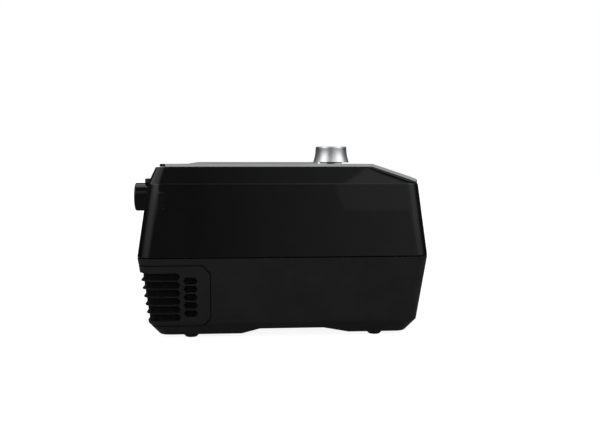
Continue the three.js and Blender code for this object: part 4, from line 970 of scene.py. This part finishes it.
@dataclass
class ControlKnob:
    """The turned metal knob with its inlay, collar and encoder."""

    base_radius: float = 13.7 * MM
    waist_radius: float = 11.75 * MM
    top_radius: float = 11.5 * MM
    rim: float = 1.1 * MM
    recess_radius: float = 9.2 * MM
    recess_height: float = 3.8 * MM
    bore: float = 3.3 * MM
    shaft_gap: float = 0.3 * MM
    edge: float = 0.35 * MM
    inlay_gap: float = 0.15 * MM
    dish: float = 1.05 * MM
    dish_steps: int = 8
    collar_bore: float = 4.2 * MM
    flare_steps: int = 14
    sides: int = 128

    def build(self) -> None:
        """Makes the knob and finishes what is under it."""
        self.knob()
        self.cap()
        self.collar()
        dress("encoder_shaft", PLAIN_STEEL, EdgeStyle.HAIR)
        dress("encoder_plunger", NATURAL_WHITE, EdgeStyle.HAIR)
        dress("encoder_body", SATIN_BLACK)
        dress("encoder_board", GREEN_BOARD, EdgeStyle.NONE)

    def turn(self, name: str, node: str, outline: Sequence[Corner], finish: Finish) -> None:
        """Makes a piece that is turned about the knob's axis and stands for a node."""
        turned(name, node, outline, upright_axis("control_knob"), self.sides, finish)

    def knob(self) -> None:
        """Makes the flared metal knob."""
        low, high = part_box("control_knob")
        bottom, top = low.z, high.z
        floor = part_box("encoder_shaft")[1].z + self.shaft_gap
        outline = [
            (self.bore, bottom + self.recess_height, 0.0),
            (self.recess_radius, bottom + self.recess_height, self.edge),
            (self.recess_radius, bottom, self.edge / 2),
            (self.base_radius, bottom, self.edge / 2),
        ]
        for step in range(1, self.flare_steps + 1):
            share = step / self.flare_steps
            fall = (1 - share) ** 2
            radius = self.waist_radius + (self.base_radius - self.waist_radius) * fall
            outline.append((radius, bottom + (top - self.rim - bottom) * share, 0.0))
        outline += [
            (self.top_radius, top, self.edge),
            (self.top_radius - self.rim, top, self.edge),
            (self.top_radius - self.rim, floor, 0.0),
            (self.bore, floor, 0.0),
            (self.bore, bottom + self.recess_height, 0.0),
        ]
        self.turn("turned_knob", "control_knob", outline, KNOB_METAL)

    def cap(self) -> None:
        """Makes the dished inlay in the top of the knob."""
        low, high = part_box("knob_cap")
        radius = self.top_radius - self.rim - self.inlay_gap
        outline = [(0.0, low.z, 0.0), (radius, low.z, 0.0), (radius, high.z, self.edge)]
        for step in range(1, self.dish_steps + 1):
            share = step / self.dish_steps
            drop = self.dish * math.sin(share * math.pi / 2)
            outline.append((radius * (1 - share), high.z - drop, 0.0))
        self.turn("knob_inlay", "knob_cap", outline, PIANO_BLACK)

    def collar(self) -> None:
        """Makes the round collar that the knob stands on."""
        low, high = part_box("knob_collar")
        radius = (high.x - low.x) / 2
        outline = [
            (self.collar_bore, low.z, 0.0),
            (radius, low.z, 0.0),
            (radius, high.z, self.edge),
            (self.collar_bore, high.z, self.edge),
            (self.collar_bore, low.z, 0.0),
        ]
        self.turn("knob_seat_ring", "knob_collar", outline, MATT_BLACK)


@dataclass(frozen=True)
class Mark:
    """Line work in the middle of a key: open or closed runs of points across and up the key."""

    node: str
    runs: list[list[Point]]


@dataclass
class ControlPanel:
    """The display and the keys on the slope, whose signs are drawn in millimetres."""

    slope_middle: Corner = (0.0, -83.05 * MM, 106.8 * MM)
    slope_angle: float = math.radians(19.20813)
    key_top: float = 2.35 * MM
    key_crown: float = 0.3 * MM
    key_edge: float = 0.4 * MM
    key_flange: float = 1.7 * MM
    flange_low: float = 0.9 * MM
    waist_low: float = -1.25 * MM
    stem_radius: float = 1.8 * MM
    stem_low: float = -3.6 * MM
    key_sides: int = 96
    crown_share: float = 0.97
    crown_steps: int = 8
    line: float = 0.42 * MM
    line_proud: float = 0.03 * MM
    line_root: float = 0.08 * MM
    ring_radius: float = 2.7
    ring_start: float = math.radians(125.0)
    ring_stop: float = math.radians(415.0)
    ring_steps: int = 40

    def build(self) -> None:
        """Finishes the display and the board, and makes the keys with their signs."""
        dress("display_lens", WINDOW_BLACK, EdgeStyle.FINE, 3)
        dress("display_module", SCREEN_GREY)
        dress("control_board", GREEN_BOARD, EdgeStyle.NONE)
        for mark in self.marks():
            self.key(mark.node)
            self.mark(mark)

    def marks(self) -> list[Mark]:
        """Draws the plain signs on the keys.

        Returns:
            A ramp, a house, and a ring that is open at the top with a bar in its gap.
        """
        ramp = [(-2.2, -1.1), (2.2, -1.1), (2.2, 1.3), (-2.2, -1.1)]
        house = [(-1.5, -1.7), (1.5, -1.7), (1.5, 0.3), (0.0, 1.9), (-1.5, 0.3), (-1.5, -1.7)]
        bar = [(0.0, 0.9), (0.0, 3.4)]
        ring = []
        for step in range(self.ring_steps + 1):
            share = step / self.ring_steps
            angle = self.ring_start + (self.ring_stop - self.ring_start) * share
            ring.append((self.ring_radius * math.cos(angle), self.ring_radius * math.sin(angle)))
        signs = {"ramp_key": [ramp], "home_key": [house], "start_key": [ring, bar]}
        return [
            Mark(node, [[(u * MM, v * MM) for u, v in run] for run in runs])
            for node, runs in signs.items()
        ]

    def placing(self, node: str) -> Matrix:
        """Gives the frame of a key's axis.

        Args:
            node: The key's node.

        Returns:
            The matrix whose axes run across the slope, up the slope and out of it.
        """
        low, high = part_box(node)
        out = Vector((0.0, -math.sin(self.slope_angle), math.cos(self.slope_angle)))
        across = Vector((1.0, 0.0, 0.0))
        turn = Matrix((across, out.cross(across), out)).transposed().to_4x4()
        middle = Vector(self.slope_middle)
        middle.x = (low.x + high.x) / 2
        return Matrix.Translation(middle) @ turn

    def height(self, radius: float, reach: float) -> float:
        """Returns the height of a key's crowned face at a radius."""
        return self.key_top + self.key_crown * (1 - (radius / reach) ** 2)

    def key(self, node: str) -> None:
        """Makes the round key with a crowned face that stands for a node."""
        low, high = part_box(node)
        radius = (high.x - low.x) / 2
        reach = radius - self.key_edge
        waist = radius - self.key_flange
        outline = [
            (0.0, self.stem_low, 0.0),
            (self.stem_radius, self.stem_low, self.key_edge / 2),
            (self.stem_radius, self.waist_low, 0.0),
            (waist, self.waist_low, self.key_edge / 2),
            (waist, self.flange_low, 0.0),
            (radius, self.flange_low, self.key_edge / 4),
            (radius, self.key_top, self.key_edge),
        ]
        for step in range(self.crown_steps + 1):
            inset = reach * self.crown_share * (1 - step / self.crown_steps)
            outline.append((inset, self.height(inset, reach), 0.0))
        turned(node + "_cap", node, outline, self.placing(node), self.key_sides, KEY_BLACK)

    def mark(self, mark: Mark) -> None:
        """Lays a sign's lines on the crowned face of its key."""
        low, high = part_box(mark.node)
        reach = (high.x - low.x) / 2 - self.key_edge
        placing = self.placing(mark.node)
        form = bmesh.new()
        for run in mark.runs:
            closed = run[0] == run[-1]
            sections = []
            for spot, side in zip(run, sideways(run)):
                corners = []
                for share, lift in ((-1, -1), (1, -1), (1, 1), (-1, 1)):
                    u, v = Vector(spot) + side * (share * self.line / 2)
                    face = self.height(math.hypot(u, v), reach)
                    rise = face + (self.line_proud if lift > 0 else -self.line_root)
                    corners.append(form.verts.new(placing @ Vector((u, v, rise))))
                sections.append(corners)
            if closed:
                for vert in sections.pop():
                    form.verts.remove(vert)
            stitch(form, sections, closed)
        piece = mesh_object(mark.node.replace("_key", "_sign"), form, PRINT_WHITE)
        add_on(piece, mark.node, slot_of(mark.node))


@dataclass
class AirPath:
    """The outlet, the ducts, the blower and the muffler."""

    outlet_sides: int = 96
    outlet_round: float = 1.3 * MM
    bore: float = 8.6 * MM
    radius: float = 11.2 * MM
    flange_depth: float = 2.4 * MM

    def build(self) -> None:
        """Makes the outlet and finishes the hidden air path."""
        self.outlet()
        dress("heated_tube_contact", MATT_BLACK, EdgeStyle.SOFT, 3)
        for node in ("blower_duct", "return_duct"):
            dress(node, MATT_BLACK, EdgeStyle.NONE)
        for node in ("blower_lower_volute", "blower_upper_volute", "impeller"):
            dress(node, NATURAL_WHITE, EdgeStyle.HAIR)
        dress("motor", BARE_ALUMINIUM, EdgeStyle.SOFT)
        dress("motor_shaft", PLAIN_STEEL, EdgeStyle.HAIR)
        for number in range(1, 4):
            dress(f"blower_mount_{number}", BLACK_RUBBER, EdgeStyle.HAIR)
        for node in ("inlet_gasket", "outlet_gasket"):
            dress(node, GREY_RUBBER_AND_EDGE_REFLECTION, EdgeStyle.HAIR)
        dress("inlet_muffler", ACOUSTIC_FOAM, EdgeStyle.NONE)

    def outlet(self) -> None:
        """Makes the round air outlet at the rear."""
        low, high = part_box("air_outlet")
        middle = (low + high) / 2
        flange = (high.x - low.x) / 2
        back = low.y + self.flange_depth
        outline = [
            (self.bore, low.y, 0.0),
            (flange, low.y, 0.0),
            (flange, back, 0.0),
            (self.radius, back, 0.0),
            (self.radius, high.y, self.outlet_round),
            (self.bore, high.y, self.outlet_round / 2),
            (self.bore, low.y, 0.0),
        ]
        to_rear = Matrix.Rotation(-math.pi / 2, 4, "X")
        placing = Matrix.Translation((middle.x, 0.0, middle.z)) @ to_rear
        turned("hose_outlet", "air_outlet", outline, placing, self.outlet_sides, GLOSS_BLACK)


@dataclass
class WaterTank:
    """The tank drawer, its lid, its bay and the heater."""

    def build(self) -> None:
        """Finishes the tank and what it slides into."""
        dress("tank_bay", SATIN_BLACK, EdgeStyle.FINE)
        dress("tank_tub", SMOKE_PLASTIC, EdgeStyle.FINE)
        dress("tank_base_plate", PLAIN_STEEL, EdgeStyle.HAIR)
        dress("tank_front_panel", GLOSS_BLACK, EdgeStyle.FINE, 3)
        dress("splash_guard", SMOKE_PLASTIC, EdgeStyle.FINE)
        dress("tank_lid", PIANO_BLACK, EdgeStyle.FINE, 3)
        # Painted reflection: a light grey bar on the lid's side faces stands for the highlight on
        # its rounded edge.
        EdgeReflectionBar("lid_trim", "tank_lid", reach=0.5 * MM, proud=0.12 * MM).build()
        dress("lid_seal", GREY_RUBBER_AND_EDGE_REFLECTION, EdgeStyle.HAIR)
        dress("lid_hinge_pin", PLAIN_STEEL, EdgeStyle.HAIR)
        dress("heater_plate", BARE_ALUMINIUM, EdgeStyle.FINE)
        dress("heater_insulator", NATURAL_WHITE)


@dataclass
class Electrics:
    """The data port, the power inlet and the main board."""

    def build(self) -> None:
        """Finishes the ports and the board."""
        dress("port_cover", GLOSS_BLACK, EdgeStyle.HAIR, 2)
        dress("data_socket", PLAIN_STEEL, EdgeStyle.HAIR)
        dress("power_inlet", SATIN_BLACK)
        dress("main_board", GREEN_BOARD, EdgeStyle.NONE)


@dataclass(frozen=True)
class Softbox:
    """A rectangular lamp that faces the machine."""

    name: str
    direction: Corner
    distance: float
    width: float
    height: float
    radiance: float

    def build(self, target: Vector) -> None:
        """Places the lamp so that it faces a target."""
        data = bpy.data.lights.new(self.name, "AREA")
        data.shape = "RECTANGLE"
        data.size, data.size_y = self.width, self.height
        data.energy = self.radiance * math.pi * self.width * self.height
        lamp = bpy.data.objects.new(self.name, data)
        away = Vector(self.direction).normalized()
        lamp.location = target + away * self.distance
        lamp.rotation_euler = away.to_track_quat("Z", "Y").to_euler()
        bpy.context.scene.collection.objects.link(lamp)


@dataclass(frozen=True)
class MirroredPanel:
    """A panel far away that polished faces mirror.

    It lies between two heights and inside planes through the machine: each side is a plane's
    normal, which points into the panel. The edges fade over a soft strip.
    """

    sides: tuple[Corner, ...]
    heights: Span
    radiance: float
    soft: float = 0.004

    def level(self, graph: Graph, where: Socket) -> Socket:
        """Wires how bright the panel is in a direction.

        Args:
            graph: The world's node graph.
            where: The socket of the direction.

        Returns:
            The socket of the panel's level, zero beyond its edges.
        """
        z = graph.node("ShaderNodeSeparateXYZ", {"Vector": where}).outputs["Z"]
        low, high = self.heights
        level = graph.ramp(z, (low, low + self.soft), (0, self.radiance))
        level = graph.math("MULTIPLY", level, graph.ramp(z, (high, high - self.soft), (0, 1)))
        for side in self.sides:
            depth = graph.node("ShaderNodeVectorMath", {0: where, 1: side}, operation="DOT_PRODUCT")
            inside = graph.ramp(depth.outputs["Value"], (0, self.soft), (0, 1))
            level = graph.math("MULTIPLY", level, inside)
        return level


@dataclass(frozen=True)
class MirroredRoom:
    """The room that polished faces mirror, by direction.

    A span holds where a level starts to change and where the change is complete.
    """

    rear_level: float = 0.108
    front_level: float = 0.5
    front_span: Span = (0.06, -0.25)
    middle_gain: float = 1.6
    middle_rise: Span = (0.3, 0.55)
    middle_fall: Span = (0.86, 0.7)
    wall_span: Span = (0.2, 0.75)
    wall_level: float = 1.0
    wall_rise: Span = (0.05, 0.25)
    upper_level: float = 1.6
    upper_rise: Span = (0.26, 0.34)
    beyond_share: float = 0.06
    beyond_span: Span = (0.2, -0.45)
    shoulder_level: float = 1.0
    shoulder_span: Span = (0.25, 0.5)
    shoulder_rise: Span = (0.35, 0.5)
    shoulder_share: float = 0.4
    shoulder_fall: Span = (0.9, 0.3)
    panels: tuple[MirroredPanel, ...] = (
        MirroredPanel(
            sides=((0.1948, -0.9421, 0.2729), (0.229, -0.0049, 0.9734)),
            heights=(0.1, 0.5),
            radiance=0.165,
        ),
        MirroredPanel(sides=((-0.6987, -0.5785, -0.4208),), heights=(0.6, 1.0), radiance=0.4),
    )

    def level(self, graph: Graph) -> Socket:
        """Wires how bright the room is in each direction.

        Args:
            graph: The world's node graph.

        Returns:
            The socket of the level: dark to the rear and beyond the machine, brighter to the front,
            on both end walls and at middle height, with the panels.
        """
        where = graph.node("ShaderNodeTexCoord").outputs["Generated"]
        x, y, z = graph.node("ShaderNodeSeparateXYZ", {"Vector": where}).outputs
        across = graph.math("ABSOLUTE", y)
        walls = graph.math("MAXIMUM", self.base(graph, y, z), self.end_walls(graph, across, z))
        for panel in self.panels:
            walls = graph.math("ADD", walls, panel.level(graph, where))
        beyond = graph.ramp(x, self.beyond_span, (self.beyond_share, 1))
        walls = graph.math("MULTIPLY", walls, beyond)
        return graph.math("MAXIMUM", walls, self.shoulders(graph, x, across, z))

    def base(self, graph: Graph, y: Socket, z: Socket) -> Socket:
        """Wires the whole room, which brightens from its rear to its front.

        Args:
            graph: The world's node graph.
            y: The socket of the direction's part to the rear.
            z: The socket of its upward part.

        Returns:
            The socket of the level, which gains at middle height.
        """
        level = graph.ramp(y, self.front_span, (self.rear_level, self.front_level), smooth=False)
        rise = graph.ramp(z, self.middle_rise, (0, 1))
        middle = graph.math("MULTIPLY", rise, graph.ramp(z, self.middle_fall, (0, 1)))
        gain = graph.math("MULTIPLY_ADD", middle, self.middle_gain, 1.0)
        return graph.math("MULTIPLY", level, gain)

    def end_walls(self, graph: Graph, across: Socket, z: Socket) -> Socket:
        """Wires the front and rear walls, which brighten upwards in two steps.

        Args:
            graph: The world's node graph.
            across: The socket of how far the direction points to the front or the rear.
            z: The socket of its upward part.

        Returns:
            The socket of the level.
        """
        share = graph.ramp(across, self.wall_span, (0, 1))
        lower = graph.ramp(z, self.wall_rise, (0, self.wall_level), smooth=False)
        upper = graph.ramp(z, self.upper_rise, (0, self.upper_level))
        return graph.math("MULTIPLY", share, graph.math("ADD", lower, upper))

    def shoulders(self, graph: Graph, x: Socket, across: Socket, z: Socket) -> Socket:
        """Wires the high front and rear of the room, dimmer beyond the machine.

        Args:
            graph: The world's node graph.
            x: The socket of the direction's part to the right.
            across: The socket of how far it points to the front or the rear.
            z: The socket of its upward part.

        Returns:
            The socket of the level.
        """
        level = graph.ramp(across, self.shoulder_span, (0, self.shoulder_level))
        level = graph.math("MULTIPLY", level, graph.ramp(z, self.shoulder_rise, (0, 1)))
        beyond = graph.ramp(x, self.shoulder_fall, (self.shoulder_share, 1))
        return graph.math("MULTIPLY", level, beyond)


@dataclass
class Studio:
    """Floor, world, lamp and camera.

    The camera's focal length is in pixels of a picture as wide as picture_width.
    """

    camera_place: Corner = (-0.618112, 0.019456, 0.114641)
    yaw: float = math.radians(4.469)
    pitch: float = math.radians(3.860)
    focal_pixels: float = 758.345
    picture_width: float = 600
    sensor: float = 36.0
    clip: Span = (0.01, 100.0)
    floor_radius: float = 6.0
    floor_sides: int = 96
    floor_albedo: float = 0.3
    floor_roughness: float = 0.9
    room_light: float = 0.75
    room: MirroredRoom = MirroredRoom()
    lamp: Softbox = Softbox("overhead_lamp", (0.35, 0.0, 1.0), 1.4, 1.1, 1.1, 1.6)

    def build(self) -> None:
        """Builds the whole studio."""
        self.settings()
        self.world()
        self.floor()
        low, high = CAD_BOUNDS
        self.lamp.build((low + high) / 2)
        self.camera()

    def settings(self) -> None:
        """Sets the plain colour transform."""
        bpy.context.scene.view_settings.view_transform = "Standard"

    def world(self) -> None:
        """Makes a white backdrop, a plain room that lights, and a room that is mirrored."""
        made = bpy.data.worlds.new("studio")
        made.use_nodes = True
        bpy.context.scene.world = made
        graph = Graph(made.node_tree)
        path = graph.node("ShaderNodeLightPath").outputs
        seen = graph.math("MAXIMUM", path["Is Camera Ray"], path["Is Transmission Ray"])
        lit = graph.blend(path["Is Glossy Ray"], self.room_light, self.room.level(graph))
        level = graph.blend(seen, lit, 1.0)
        shader = graph.node("ShaderNodeBackground", {"Color": WHITE, "Strength": level})
        graph.node("ShaderNodeOutputWorld", {"Surface": shader.outputs["Background"]})

    def floor(self) -> None:
        """Makes the pale floor, which takes the machine's shadow."""
        form = bmesh.new()
        radius, sides = self.floor_radius, self.floor_sides
        bmesh.ops.create_circle(form, cap_ends=True, radius=radius, segments=sides)
        finish = FloorPaint("floor_paint", (self.floor_albedo,) * 3, self.floor_roughness)
        piece = mesh_object("floor", form, finish)

    def camera(self) -> None:
        """Puts the camera where the picture was taken from."""
        data = bpy.data.cameras.new("camera")
        data.sensor_width = self.sensor
        data.lens = self.focal_pixels / self.picture_width * self.sensor
        data.clip_start, data.clip_end = self.clip
        camera = bpy.data.objects.new("camera", data)
        level = math.cos(self.pitch)
        right, front = math.cos(self.yaw) * level, math.sin(self.yaw) * level
        ahead = Vector((right, -front, -math.sin(self.pitch)))
        camera.location = self.camera_place
        camera.rotation_euler = ahead.to_track_quat("-Z", "Y").to_euler()
        bpy.context.scene.collection.objects.link(camera)
        bpy.context.scene.camera = camera


def main() -> None:
    """Builds the machine's sub-assemblies and the studio, in order."""
    logging.basicConfig(level=logging.INFO, format="%(message)s")
    assemblies: list[Callable[[], None]] = [
        Housing().build,
        ControlKnob().build,
        ControlPanel().build,
        AirPath().build,
        WaterTank().build,
        Electrics().build,
        Studio().build,
    ]
    for build in assemblies:
        build()
    bpy.context.view_layer.update()


if __name__ == "__main__":
    main()
